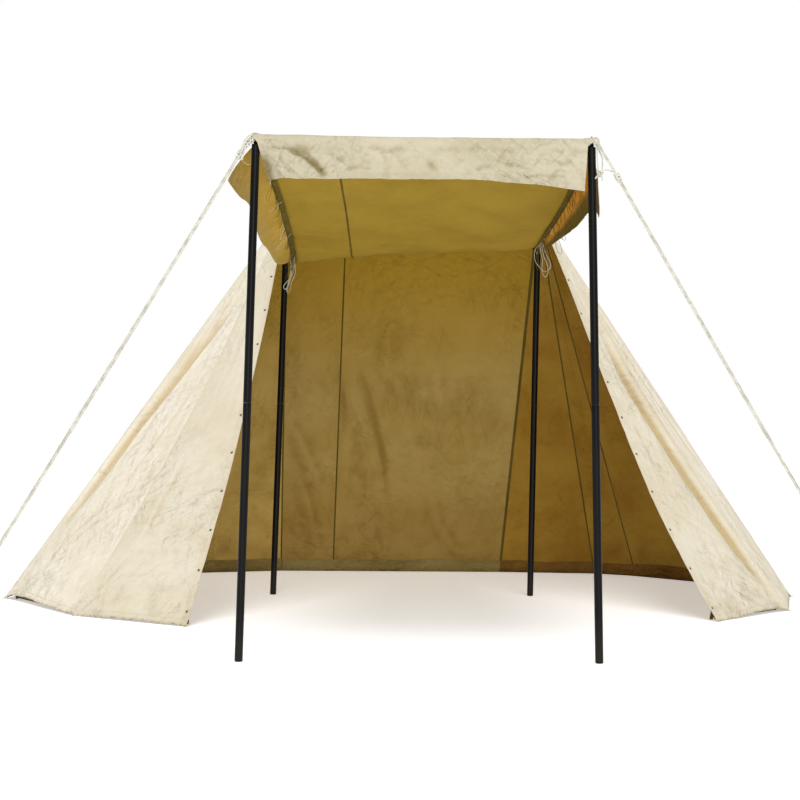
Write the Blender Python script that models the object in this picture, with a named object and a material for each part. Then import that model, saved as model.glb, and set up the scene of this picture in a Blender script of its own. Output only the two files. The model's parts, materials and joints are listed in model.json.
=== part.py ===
# Merchant tent with a raised front canopy, modelled in metres with +Z up.
# The front looks along -Y, and the origin lies on the ground under the middle of the whole tent.
import math

import bmesh
import bpy
import numpy as np
from mathutils import Vector

# Overall sizes of the pitched tent
RIDGE_TOP = 3.0
HALF_RIDGE = 0.99
BACK_REACH = 1.85
FRONT_POLE_REACH = 3.22
FRONT_TOP = 3.05
PEG_REACH = 4.5

# Cloth and seams
CANVAS = 0.003
SEAM_GAP = 0.0003
EYE_RADIUS = 0.009
CROWN_RADIUS = 0.017

# Poles and bars
POLE_RADIUS = 0.024
BAR_RADIUS = 0.022
SPIKE_RADIUS = 0.006
SPIKE_LENGTH = 0.072
BAR_HOLE_RADIUS = 0.0085
BAR_END = 0.013
POLE_JOINT_Z = 1.5
FOOT_CHAMFER = 0.008
POLE_SIDES = 20

# Ropes, cords and pegs
ROPE_RADIUS = 0.005
CORD_RADIUS = 0.0025
PEG_RADIUS = 0.007
PEG_HEAD_RADIUS = 0.014
PEG_LENGTH = 0.10
PEG_ROPE_Z = 0.027
KNOT_RADIUS = 0.022

# The ridge line stands behind the origin, because the guy pegs reach far to the front
PEG_FRONT = PEG_REACH + 0.03
RIDGE_Y = (PEG_FRONT - BACK_REACH) / 2
FRONT_Y = RIDGE_Y - FRONT_POLE_REACH

# Inner height of the canvas over the ridge bar, and the bars and pole tops under it
CROWN_Z = RIDGE_TOP - CANVAS
RIDGE_BAR_Z = CROWN_Z - SEAM_GAP - BAR_RADIUS
INNER_POLE_TOP = RIDGE_BAR_Z - BAR_RADIUS - SEAM_GAP
FRONT_BAR_Z = FRONT_TOP - CANVAS - 2 * SEAM_GAP - BAR_RADIUS
FRONT_POLE_TOP = FRONT_BAR_Z - BAR_RADIUS - SEAM_GAP

# The back wall's hem lies a little to the left of the ridge, so its side seams lean by this angle
BACK_LEAN = 4.5
SEAM_LEAN = -BACK_REACH * math.tan(math.radians(BACK_LEAN))
BACK_CORNER_RADIUS = BACK_REACH / math.cos(math.radians(BACK_LEAN))

# Hem corners of the two rounded ends: degrees from sideways, plus to the back, and radius
HEM_LEFT = [(-73.5, 1.906), (-43.4, 1.914), (-11.0, 2.068), (23.0, 1.99), (56.0, 1.90),
            (90 - BACK_LEAN, BACK_CORNER_RADIUS)]
HEM_RIGHT = [(-51.9, 1.831), (-24.9, 1.976), (0.6, 2.03), (28.0, 1.98), (56.4, 1.90), (68.2, 1.90),
             (90 + BACK_LEAN, BACK_CORNER_RADIUS)]
GORE_NAMES_LEFT = ["door_flap_left_front", "door_flap_left_side", "gore_left_side", "gore_left_rear",
                   "gore_left_back"]
GORE_NAMES_RIGHT = ["door_flap_right_front", "door_flap_right_side", "gore_right_side",
                    "gore_right_rear", "gore_right_narrow", "gore_right_back"]

# Seam between the narrow and the wide length of cloth, at the ridge and at the back hem
SEAM_TOP_X = -0.52

# The raised canopy: forward of the ridge, hang below a straight line, left and right half width
CANOPY_HALF = 0.955
CANOPY_SEAM_X = -0.48
CANOPY_SHAPE = [(0.12, 0.14, 0.952, 0.954), (0.30, 0.300, 0.943, 0.951), (0.50, 0.368, 0.930, 0.946),
                (0.75, 0.388, 0.914, 0.940), (1.00, 0.378, 0.902, 0.938), (1.30, 0.338, 0.900, 0.955),
                (1.60, 0.296, 0.902, 0.973), (2.10, 0.216, 0.914, 0.993), (2.60, 0.144, 0.932, 0.993),
                (3.00, 0.062, 0.946, 0.975)]
CANOPY_TWIST = 0.16
CANOPY_COLUMNS = 3

# The front edge folded down over the bar: drop at points across it
VALANCE_EDGE = [(-0.945, 0.245), (-0.40, 0.247), (0.30, 0.248), (0.65, 0.272), (0.955, 0.318)]
VALANCE_TUCK = 0.055

# The lacing strips under the canopy's long edges
LACING_WIDTH = 0.042
LACING_THICKNESS = 0.003

# The overlap flaps: distance forward, reach outward and drop of their free edge
OVERLAP_LEFT = [(0.30, 0.020, 0.030), (0.50, 0.043, 0.020), (0.75, 0.098, 0.020), (1.00, 0.119, 0.033),
                (1.30, 0.143, 0.050), (1.60, 0.168, 0.065), (2.10, 0.156, 0.107), (2.60, 0.128, 0.145),
                (2.90, 0.150, 0.205), (3.185, 0.185, 0.241)]
OVERLAP_RIGHT = [(0.30, 0.012, 0.030), (0.75, 0.022, 0.020), (1.20, 0.045, 0.060), (1.60, 0.053, 0.104),
                 (1.90, 0.046, 0.152), (2.30, 0.052, 0.184), (2.60, 0.056, 0.214), (2.85, 0.058, 0.270),
                 (3.05, 0.058, 0.390), (3.185, 0.055, 0.270)]
OVERLAP_BULGE = {-1: 0.10, 1: 0.04}

# The sod cloth at the inner foot of the walls
SOD_HEIGHT = 0.11
SOD_SPREAD = 0.10

# Where the poles stand and lean
FRONT_LEFT = {"foot": -1.052, "top": -0.974}
FRONT_RIGHT = {"foot": 1.043, "top": 0.978}
INNER_LEFT = {"foot": -1.078, "top": -HALF_RIDGE}
INNER_RIGHT = {"foot": 0.946, "top": HALF_RIDGE}

# Guy lines: peg place across, and where the knot sits from the spike
GUY_LEFT = {"peg_x": -2.59, "knot_out": 0.105, "knot_z": 2.94}
GUY_RIGHT = {"peg_x": 2.49, "knot_out": 0.174, "knot_z": 2.82}

# Routes of the loose lacing cords: across, forward of the ridge, height. Both ends are drawn to the
# underside of the lacing strip, and the lowest point stays
CORD_ROUTES = {
    "lacing_cord_right_wide": [
        (0.904, 0.965, 2.6508), (0.901, 0.965, 2.640), (0.890, 0.965, 2.632), (0.878, 0.966, 2.620),
        (0.870, 0.966, 2.600), (0.869, 0.967, 2.571), (0.873, 0.967, 2.545), (0.885, 0.967, 2.523),
        (0.904, 0.968, 2.503), (0.925, 0.968, 2.482), (0.947, 0.968, 2.472), (0.968, 0.969, 2.480),
        (0.982, 0.969, 2.496), (0.985, 0.970, 2.518), (0.979, 0.970, 2.539), (0.965, 0.970, 2.562),
        (0.950, 0.971, 2.587), (0.939, 0.971, 2.613), (0.932, 0.972, 2.638), (0.930, 0.972, 2.6528)],
    "lacing_cord_right_narrow": [
        (0.909, 1.000, 2.6536), (0.907, 1.001, 2.626), (0.910, 1.001, 2.597), (0.918, 1.002, 2.571),
        (0.924, 1.003, 2.546), (0.923, 1.003, 2.517), (0.921, 1.004, 2.484), (0.924, 1.004, 2.459),
        (0.933, 1.005, 2.439), (0.944, 1.006, 2.431), (0.957, 1.006, 2.440), (0.964, 1.007, 2.460),
        (0.963, 1.008, 2.482), (0.957, 1.008, 2.508), (0.948, 1.009, 2.533), (0.937, 1.009, 2.557),
        (0.927, 1.010, 2.581), (0.921, 1.011, 2.610), (0.918, 1.011, 2.635), (0.918, 1.012, 2.6559)],
    "lacing_cord_left_wide": [
        (-0.879, 0.965, 2.5610), (-0.879, 0.965, 2.530), (-0.878, 0.965, 2.498), (-0.879, 0.966, 2.469),
        (-0.886, 0.966, 2.440), (-0.902, 0.967, 2.414), (-0.920, 0.967, 2.392), (-0.938, 0.967, 2.371),
        (-0.951, 0.968, 2.351), (-0.950, 0.968, 2.337), (-0.937, 0.969, 2.329), (-0.926, 0.969, 2.342),
        (-0.919, 0.970, 2.363), (-0.913, 0.970, 2.387), (-0.906, 0.970, 2.414), (-0.902, 0.971, 2.443),
        (-0.900, 0.971, 2.472), (-0.900, 0.972, 2.501), (-0.900, 0.972, 2.530), (-0.899, 0.972, 2.5605)],
    "lacing_cord_left_narrow": [
        (-0.890, 1.000, 2.5632), (-0.889, 1.000, 2.528), (-0.889, 1.001, 2.492), (-0.890, 1.001, 2.459),
        (-0.894, 1.002, 2.426), (-0.902, 1.003, 2.394), (-0.912, 1.004, 2.362), (-0.921, 1.004, 2.335),
        (-0.925, 1.005, 2.317), (-0.920, 1.006, 2.303), (-0.909, 1.006, 2.308), (-0.900, 1.007, 2.328),
        (-0.896, 1.008, 2.353), (-0.890, 1.008, 2.379), (-0.880, 1.009, 2.403), (-0.869, 1.010, 2.429),
        (-0.865, 1.011, 2.458), (-0.866, 1.011, 2.491), (-0.868, 1.012, 2.528), (-0.870, 1.012, 2.5665)],
}
CORD_SAMPLES = 60
CORD_TOP_GAP = 0.0007


# Scene and materials
def clear_scene():
    for item in list(bpy.data.objects):
        bpy.data.objects.remove(item, do_unlink=True)


def make_material(name, colour, roughness, metallic=0.0):
    material = bpy.data.materials.new(name)
    material.use_nodes = True
    shader = material.node_tree.nodes["Principled BSDF"]
    shader.inputs["Base Color"].default_value = (*colour, 1.0)
    shader.inputs["Roughness"].default_value = roughness
    shader.inputs["Metallic"].default_value = metallic
    material.diffuse_color = (*colour, 1.0)
    return material


def finish_mesh(name, bm, material, smooth_angle=None):
    bmesh.ops.remove_doubles(bm, verts=bm.verts[:], dist=1e-6)
    bmesh.ops.recalc_face_normals(bm, faces=bm.faces[:])
    mesh = bpy.data.meshes.new(name)
    bm.to_mesh(mesh)
    bm.free()
    mesh.materials.append(material)
    if smooth_angle is not None:
        mesh.shade_smooth()
        mesh.set_sharp_from_angle(angle=math.radians(smooth_angle))
    item = bpy.data.objects.new(name, mesh)
    bpy.context.collection.objects.link(item)
    return item


# A closed sheet between two grids of points with the same rows and columns
def slab(name, upper, lower, material):
    bm = bmesh.new()
    rows, columns = len(upper), len(upper[0])
    top = [[bm.verts.new(p) for p in row] for row in upper]
    low = [[bm.verts.new(p) for p in row] for row in lower]
    for i in range(rows - 1):
        for j in range(columns - 1):
            bm.faces.new((top[i][j], top[i][j + 1], top[i + 1][j + 1], top[i + 1][j]))
            bm.faces.new((low[i][j], low[i + 1][j], low[i + 1][j + 1], low[i][j + 1]))
    for i in range(rows - 1):
        for j in (0, columns - 1):
            bm.faces.new((top[i][j], top[i + 1][j], low[i + 1][j], low[i][j]))
    for j in range(columns - 1):
        for i in (0, rows - 1):
            bm.faces.new((top[i][j], top[i][j + 1], low[i][j + 1], low[i][j]))
    return finish_mesh(name, bm, material)


# Stacked level rings make a leaning post with flat ends; each ring is (x, y, z, radius)
def stacked_post(name, rings, material, sides=POLE_SIDES):
    bm = bmesh.new()
    loops = []
    for x, y, z, radius in rings:
        turns = [2 * math.pi * k / sides for k in range(sides)]
        loops.append([bm.verts.new((x + radius * math.cos(a), y + radius * math.sin(a), z)) for a in turns])
    for low, high in zip(loops, loops[1:]):
        for k in range(sides):
            nxt = (k + 1) % sides
            bm.faces.new((low[k], low[nxt], high[nxt], high[k]))
    bm.faces.new(loops[0][::-1])
    bm.faces.new(loops[-1])
    return finish_mesh(name, bm, material, smooth_angle=40)


# A rope or cord as a filled tube along its points
def tube(name, points, radius, material, cyclic=False, resolution=2):
    curve = bpy.data.curves.new(name, "CURVE")
    curve.dimensions = "3D"
    curve.bevel_depth = radius
    curve.bevel_resolution = resolution
    curve.use_fill_caps = not cyclic
    spline = curve.splines.new("POLY")
    spline.points.add(len(points) - 1)
    for point, place in zip(spline.points, points):
        point.co = (*place, 1.0)
    spline.use_cyclic_u = cyclic
    curve.materials.append(material)
    item = bpy.data.objects.new(name, curve)
    bpy.context.collection.objects.link(item)
    return item


# A smooth curve through hand-chosen points, read at even steps
def smooth_route(points, samples):
    p = np.array(points, dtype=float)
    p = np.vstack([2 * p[0] - p[1], p, 2 * p[-1] - p[-2]])
    fine = []
    for a, b, c, d in zip(p, p[1:], p[2:], p[3:]):
        for t in np.linspace(0, 1, 12, endpoint=False):
            fine.append(0.5 * (2 * b + (c - a) * t + (2 * a - 5 * b + 4 * c - d) * t ** 2
                               + (3 * b - a - 3 * c + d) * t ** 3))
    fine = np.array(fine + [p[-2]])
    steps = np.concatenate([[0], np.cumsum(np.linalg.norm(np.diff(fine, axis=0), axis=1))])
    want = np.linspace(0, steps[-1], samples)
    return [tuple(np.interp(want, steps, fine[:, k])[i] for k in range(3)) for i in range(samples)]


# Offsets a profile of (forward, height) points by the cloth's thickness, to its left side
def offset_profile(profile, distance):
    shifted = []
    for i, (u, z) in enumerate(profile):
        before = profile[max(i - 1, 0)]
        after = profile[min(i + 1, len(profile) - 1)]
        along = Vector((after[0] - before[0], after[1] - before[1])).normalized()
        shifted.append((u - along.y * distance, z + along.x * distance))
    return shifted


# Arc of cloth lying on a round bar, from one angle to another, as (forward, height)
def wrap(bar_forward, bar_z, start, end, step=15):
    count = max(1, round(abs(end - start) / step))
    half_step = math.radians(abs(end - start) / count / 2)
    radius = (BAR_RADIUS + SEAM_GAP) / math.cos(half_step)
    angles = [math.radians(start + (end - start) * k / count) for k in range(count + 1)]
    return [(bar_forward + radius * math.cos(a), bar_z + radius * math.sin(a)) for a in angles]


# Hem corners and wall canvas
def hem_place(side, corner, radius, height, inset=0.0):
    angle = math.radians(corner)
    across = Vector((math.cos(angle), math.sin(angle)))
    edge = Vector((-math.sin(angle), math.cos(angle)))
    spot = across * radius + edge * inset
    return (side * (HALF_RIDGE + spot.x), RIDGE_Y + spot.y, height)


def wall_slope(radius):
    return CANVAS * math.hypot(radius, RIDGE_TOP) / RIDGE_TOP


def make_gore(name, side, first, second, material):
    half_gap = SEAM_GAP / 2
    outer, inner = [], []
    for corner, radius, inset in ((*first, half_gap), (*second, -half_gap)):
        thick = wall_slope(radius)
        outer.append([hem_place(side, corner, r, z, inset) for r, z in
                      ((EYE_RADIUS, RIDGE_TOP), (CROWN_RADIUS + CANVAS / 2, RIDGE_TOP), (radius, 0.0))])
        inner.append([hem_place(side, corner, r, z, inset) for r, z in
                      ((EYE_RADIUS, CROWN_Z), (CROWN_RADIUS, CROWN_Z), (radius - thick, 0.0))])
    return slab(name, outer, inner, material)


def back_edge_x(side, forward_back):
    lean = SEAM_LEAN * forward_back / BACK_REACH
    return side * (HALF_RIDGE - SEAM_GAP / 2) + lean


def make_back_panel(name, left_edge, right_edge, material):
    thick = wall_slope(BACK_REACH)
    outer, inner = [], []
    for reach, z in ((SEAM_GAP / 2, RIDGE_TOP), (EYE_RADIUS, RIDGE_TOP),
                     (CROWN_RADIUS + CANVAS / 2, RIDGE_TOP), (BACK_REACH, 0.0)):
        outer.append([(edge(reach), RIDGE_Y + reach, z) for edge in (left_edge, right_edge)])
    for reach, z in ((SEAM_GAP / 2, CROWN_Z), (EYE_RADIUS, CROWN_Z), (CROWN_RADIUS, CROWN_Z),
                     (BACK_REACH - thick, 0.0)):
        inner.append([(edge(reach), RIDGE_Y + reach, z) for edge in (left_edge, right_edge)])
    return slab(name, outer, inner, material)


# At the ridge the back wall stops short of the round hole for the pole's spike
def clear_of_spike(side):
    def edge(reach):
        if reach < EYE_RADIUS:
            return side * (HALF_RIDGE - EYE_RADIUS)
        return back_edge_x(side, reach)
    return edge


def seam_side(gap):
    return lambda reach: SEAM_TOP_X + SEAM_LEAN * reach / BACK_REACH + gap


# The canopy's rows run forward from the ridge over both bars: forward, height, twist, left, right
def canopy_rows():
    first = wrap(0.0, RIDGE_BAR_Z, 90, 38)
    first[0] = (SEAM_GAP / 2, first[0][1])
    last = wrap(FRONT_POLE_REACH, FRONT_BAR_Z, 102, 90)
    last[-1] = (FRONT_POLE_REACH - SEAM_GAP / 2, last[-1][1])
    rows = [(u, z, 0.0, CANOPY_HALF, CANOPY_HALF) for u, z in first]
    for forward, sag, left, right in CANOPY_SHAPE:
        straight = CROWN_Z + (FRONT_TOP - CANVAS - CROWN_Z) * forward / FRONT_POLE_REACH
        rows.append((forward, straight - sag, sag * CANOPY_TWIST, left, right))
    return rows + [(u, z, 0.0, CANOPY_HALF, CANOPY_HALF) for u, z in last]


# A place on the canopy's underside, measured in from one of its long edges
def canopy_edge(side, forward, inset=0.0):
    rows = np.array(canopy_rows())
    z, twist, left, right = [float(np.interp(forward, rows[:, 0], rows[:, k])) for k in (1, 2, 3, 4)]
    x = side * ((left if side < 0 else right) - inset)
    return x, z + twist * x / CANOPY_HALF


def make_canopy_panel(name, columns, material):
    rows = canopy_rows()
    under = [(u, z) for u, z, *_ in rows]
    over = offset_profile(under, CANVAS)
    over[0] = (under[0][0], over[0][1])
    over[-1] = (under[-1][0], over[-1][1])
    grids = []
    for profile in (over, under):
        grids.append([[(x, RIDGE_Y - u, z + row[2] * x / CANOPY_HALF) for x in columns(row[3], row[4])]
                      for (u, z), row in zip(profile, rows)])
    return slab(name, grids[0], grids[1], material)


def narrow_columns(left, right):
    return [-left, -left + LACING_WIDTH, CANOPY_SEAM_X - SEAM_GAP / 2]


def wide_columns(left, right):
    seam = CANOPY_SEAM_X + SEAM_GAP / 2
    strip = right - LACING_WIDTH
    return [seam + (strip - seam) * k / CANOPY_COLUMNS for k in range(CANOPY_COLUMNS)] + [strip, right]


def make_valance(material):
    arc = wrap(FRONT_POLE_REACH, FRONT_BAR_Z, 90, 0)
    arc[0] = (FRONT_POLE_REACH + SEAM_GAP / 2, arc[0][1])
    front = arc[-1][0]
    inner, outer = [], []
    for x, drop in VALANCE_EDGE:
        tuck = VALANCE_TUCK if x == VALANCE_EDGE[0][0] else 0.0
        under = arc + [(front, FRONT_TOP - 0.5 * drop), (front, FRONT_TOP - drop)]
        over = offset_profile(under, CANVAS)
        over[0] = (under[0][0], over[0][1])
        over[-1] = (over[-1][0], under[-1][1])
        lean = [0.0] * len(arc) + [0.5 * tuck, tuck]
        inner.append([(x + k, RIDGE_Y - u, z) for (u, z), k in zip(under, lean)])
        outer.append([(x + k, RIDGE_Y - u, z) for (u, z), k in zip(over, lean)])
    return slab("front_valance", outer, inner, material)


# A doubled strip sewn flat under the canopy, along one long edge
def make_lacing_strip(name, side, material):
    upper, lower = [], []
    for forward, *_ in CANOPY_SHAPE:
        places = [canopy_edge(side, forward), canopy_edge(side, forward, LACING_WIDTH)]
        upper.append([(x, RIDGE_Y - forward, z - 2 * SEAM_GAP) for x, z in places])
        lower.append([(x, RIDGE_Y - forward, z - 2 * SEAM_GAP - LACING_THICKNESS) for x, z in places])
    return slab(name, upper, lower, material)


# An overlap flap's sewn edge lies just outside the canopy's edge
def make_overlap_flap(name, side, stations, material):
    outer, inner = [], []
    forwards = sorted({s[0] for s in stations} | {s[0] for s in CANOPY_SHAPE if s[0] > stations[0][0]})
    for forward in forwards:
        reach = float(np.interp(forward, [s[0] for s in stations], [s[1] for s in stations]))
        drop = float(np.interp(forward, [s[0] for s in stations], [s[2] for s in stations]))
        x, z = canopy_edge(side, forward)
        fall = Vector((side * reach, 0.0, -drop))
        half = Vector((side * drop, 0.0, reach)).normalized() * (CANVAS / 2)
        root = Vector((x + half.x + side * SEAM_GAP, RIDGE_Y - forward, z + CANVAS / 2))
        bulge = Vector((side * OVERLAP_BULGE[side] * drop, 0.0, 0.0))
        places = [root, root + fall * 0.5 + bulge, root + fall]
        outer.append([p + half for p in places])
        inner.append([p - half for p in places])
    return slab(name, outer, inner, material)


# A cord's route with its two ends brought to the strip, and its middle stretched to suit
def hang_from_strip(route):
    side = 1 if route[0][0] > 0 else -1
    rises = []
    for x, forward, z in (route[0], route[-1]):
        edge_x, edge_z = canopy_edge(side, forward)
        inset_x, inset_z = canopy_edge(side, forward, LACING_WIDTH)
        under = edge_z + (inset_z - edge_z) * (x - edge_x) / (inset_x - edge_x)
        rises.append(under - 2 * SEAM_GAP - LACING_THICKNESS - CORD_TOP_GAP - z)
    lowest = min(z for _, _, z in route)
    hung = []
    for k, (x, forward, z) in enumerate(route):
        share = k / (len(route) - 1)
        top = route[0][2] + (route[-1][2] - route[0][2]) * share
        rise = rises[0] + (rises[1] - rises[0]) * share
        hung.append((x, RIDGE_Y - forward, z + rise * (z - lowest) / (top - lowest)))
    return hung


# Sod cloth: a strip from the wall's inner face down to the ground inside
def sod_section(radius):
    thick = wall_slope(radius)
    inner_foot = radius - thick
    at_wall = inner_foot + (CROWN_RADIUS - inner_foot) * SOD_HEIGHT / CROWN_Z - 2 * SEAM_GAP
    foot = radius - SOD_SPREAD
    width = CANVAS * 1.3
    upper = [(at_wall, SOD_HEIGHT), (foot, 0.0)]
    lower = [(at_wall - width, SOD_HEIGHT), (foot - width, 0.0)]
    return upper, lower


def make_end_sod(name, side, hem, material):
    outer, inner = [], []
    for k, (corner, radius) in enumerate(hem):
        upper, lower = sod_section(radius)
        inset = SEAM_GAP if k == 0 else (-SEAM_GAP if k == len(hem) - 1 else 0.0)
        outer.append([hem_place(side, corner, r, z, inset) for r, z in upper])
        inner.append([hem_place(side, corner, r, z, inset) for r, z in lower])
    return slab(name, outer, inner, material)


def make_back_sod(material):
    upper, lower = sod_section(BACK_REACH)
    grids = []
    for profile in (upper, lower):
        grids.append([[(back_edge_x(side, r) - side * SEAM_GAP, RIDGE_Y + r, z) for side in (-1, 1)]
                      for r, z in profile])
    return slab("sod_cloth_back", grids[0], grids[1], material)


# Poles come in two lengths, the upper one with its spike
def pole_x(pole, z, top_z):
    return pole["foot"] + (pole["top"] - pole["foot"]) * min(z, top_z) / top_z


def make_pole(name, pole, y, top_z, material):
    def ring(z, radius):
        return (pole_x(pole, z, top_z), y, z, radius)

    lower = [ring(0.0, POLE_RADIUS - FOOT_CHAMFER), ring(FOOT_CHAMFER, POLE_RADIUS),
             ring(POLE_JOINT_Z, POLE_RADIUS)]
    stacked_post(name + "_lower", lower, material)
    tip = top_z + SPIKE_LENGTH
    upper = [ring(POLE_JOINT_Z + SEAM_GAP, POLE_RADIUS), ring(top_z, POLE_RADIUS),
             ring(top_z, SPIKE_RADIUS), ring(tip - 0.008, SPIKE_RADIUS), ring(tip, SPIKE_RADIUS * 0.4)]
    stacked_post(name + "_upper", upper, material)


# A bar lies on two pole tops, drilled for their spikes
def make_bar(name, left_x, right_x, y, z, material):
    bm = bmesh.new()
    start, end = left_x - BAR_END, right_x + BAR_END
    rings = []
    for x, radius in ((start, BAR_RADIUS - 0.003), (start + 0.003, BAR_RADIUS),
                      (end - 0.003, BAR_RADIUS), (end, BAR_RADIUS - 0.003)):
        turns = [2 * math.pi * (k + 0.5) / POLE_SIDES for k in range(POLE_SIDES)]
        rings.append([bm.verts.new((x, y + radius * math.cos(a), z + radius * math.sin(a))) for a in turns])
    for near, far in zip(rings, rings[1:]):
        for k in range(POLE_SIDES):
            nxt = (k + 1) % POLE_SIDES
            bm.faces.new((near[k], near[nxt], far[nxt], far[k]))
    bm.faces.new(rings[0])
    bm.faces.new(rings[-1])
    bar = finish_mesh(name, bm, material, smooth_angle=40)
    for x in (left_x, right_x):
        drill = stacked_post("drill", [(x, y, z - 0.05, BAR_HOLE_RADIUS), (x, y, z + 0.05, BAR_HOLE_RADIUS)],
                             material, sides=12)
        drill.hide_render = True
        drill.display_type = "WIRE"
        cut = bar.modifiers.new("spike hole", "BOOLEAN")
        cut.operation = "DIFFERENCE"
        cut.object = drill
    return bar


# The guy line's own directions: out from the spike over the ground, sideways, and up
class GuyFrame:
    def __init__(self, pole, guy):
        self.spike = Vector((pole["top"], FRONT_Y, 0.0))
        self.peg = Vector((guy["peg_x"], RIDGE_Y - PEG_REACH, 0.0))
        span = self.peg - self.spike
        self.reach = span.length
        self.out = span.normalized()
        self.side = Vector((-self.out.y, self.out.x, 0.0))
        self.knot = self.place(guy["knot_out"], 0.0, guy["knot_z"])
        self.loop = self.place(self.reach, 0.0, PEG_ROPE_Z)
        self.pull = (self.loop - self.knot).normalized()
        self.lean = self.side.cross(self.pull).normalized()
        if self.lean.z < 0:
            self.lean.negate()

    def place(self, out, side, z):
        return self.spike + self.out * out + self.side * side + Vector((0.0, 0.0, z))


def make_guy_eye(name, frame, material):
    ring = SPIKE_RADIUS + ROPE_RADIUS + 0.0008
    level = FRONT_BAR_Z + BAR_RADIUS + ROPE_RADIUS
    back = [math.radians(a) for a in (90, 120, 150, 180, 210, 240, 270)]
    tip = frame.knot - frame.pull * (KNOT_RADIUS + ROPE_RADIUS + SEAM_GAP)
    tip_out = (tip - frame.spike).dot(frame.out)
    points = [frame.place(ring * math.cos(a), ring * math.sin(a), level) for a in back]
    leg = [(0.30, 0.88, level), (0.55, 0.75, level - 0.35 * (level - tip.z) * 0.5),
           (0.82, 0.6, level - 0.55 * (level - tip.z))]
    down = [frame.place(tip_out * share, -ring * width, z) for share, width, z in leg]
    up = [frame.place(tip_out * share, ring * width, z) for share, width, z in reversed(leg)]
    nose = [tip + frame.side * (-0.006) - frame.pull * 0.004, tip,
            tip + frame.side * 0.006 - frame.pull * 0.004]
    return tube(name, points + down + nose + up, ROPE_RADIUS, material, cyclic=True, resolution=4)


def make_guy_knot(name, frame, material):
    bm = bmesh.new()
    bmesh.ops.create_icosphere(bm, subdivisions=3, radius=KNOT_RADIUS)
    bmesh.ops.translate(bm, verts=bm.verts[:], vec=frame.knot)
    return finish_mesh(name, bm, material, smooth_angle=60)


def make_guy_rope(name, frame, material):
    turn = PEG_RADIUS + ROPE_RADIUS + 2 * SEAM_GAP
    top = KNOT_RADIUS + SEAM_GAP
    length = (frame.loop - frame.knot).length
    start = ROPE_RADIUS + 0.002
    points = []
    for share in (0.0, 0.25, 0.5, 0.75, 1.0):
        along = top + (length - top) * share
        spread = start + (turn - start) * share
        points.append(frame.knot + frame.pull * along - frame.side * spread)
    for degrees in (-60, -30, 0, 30, 60):
        a = math.radians(degrees)
        points.append(frame.loop + frame.pull * turn * math.cos(a) + frame.side * turn * math.sin(a))
    for share in (1.0, 0.75, 0.5, 0.25, 0.0):
        along = top + (length - top) * share
        spread = start + (turn - start) * share
        points.append(frame.knot + frame.pull * along + frame.side * spread)
    return tube(name, points, ROPE_RADIUS, material)


def make_peg(name, frame, material):
    lean = frame.lean
    side = frame.side
    other = lean.cross(side)

    def ring(bm, distance, radius, on_ground=False):
        verts = []
        for k in range(12):
            a = 2 * math.pi * k / 12
            spot = frame.loop + lean * distance + (side * math.cos(a) + other * math.sin(a)) * radius
            if on_ground:
                spot = spot - lean * (spot.z / lean.z)
            verts.append(bm.verts.new(spot))
        return verts

    bm = bmesh.new()
    rest = PEG_ROPE_Z / lean.z
    head = PEG_LENGTH - rest
    loops = [ring(bm, -rest, PEG_RADIUS, on_ground=True), ring(bm, head - 0.012, PEG_RADIUS),
             ring(bm, head - 0.012, PEG_HEAD_RADIUS), ring(bm, head - 0.003, PEG_HEAD_RADIUS),
             ring(bm, head, PEG_HEAD_RADIUS - 0.003)]
    for near, far in zip(loops, loops[1:]):
        for k in range(12):
            nxt = (k + 1) % 12
            bm.faces.new((near[k], near[nxt], far[nxt], far[k]))
    bm.faces.new(loops[0])
    bm.faces.new(loops[-1])
    return finish_mesh(name, bm, material, smooth_angle=40)


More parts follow.
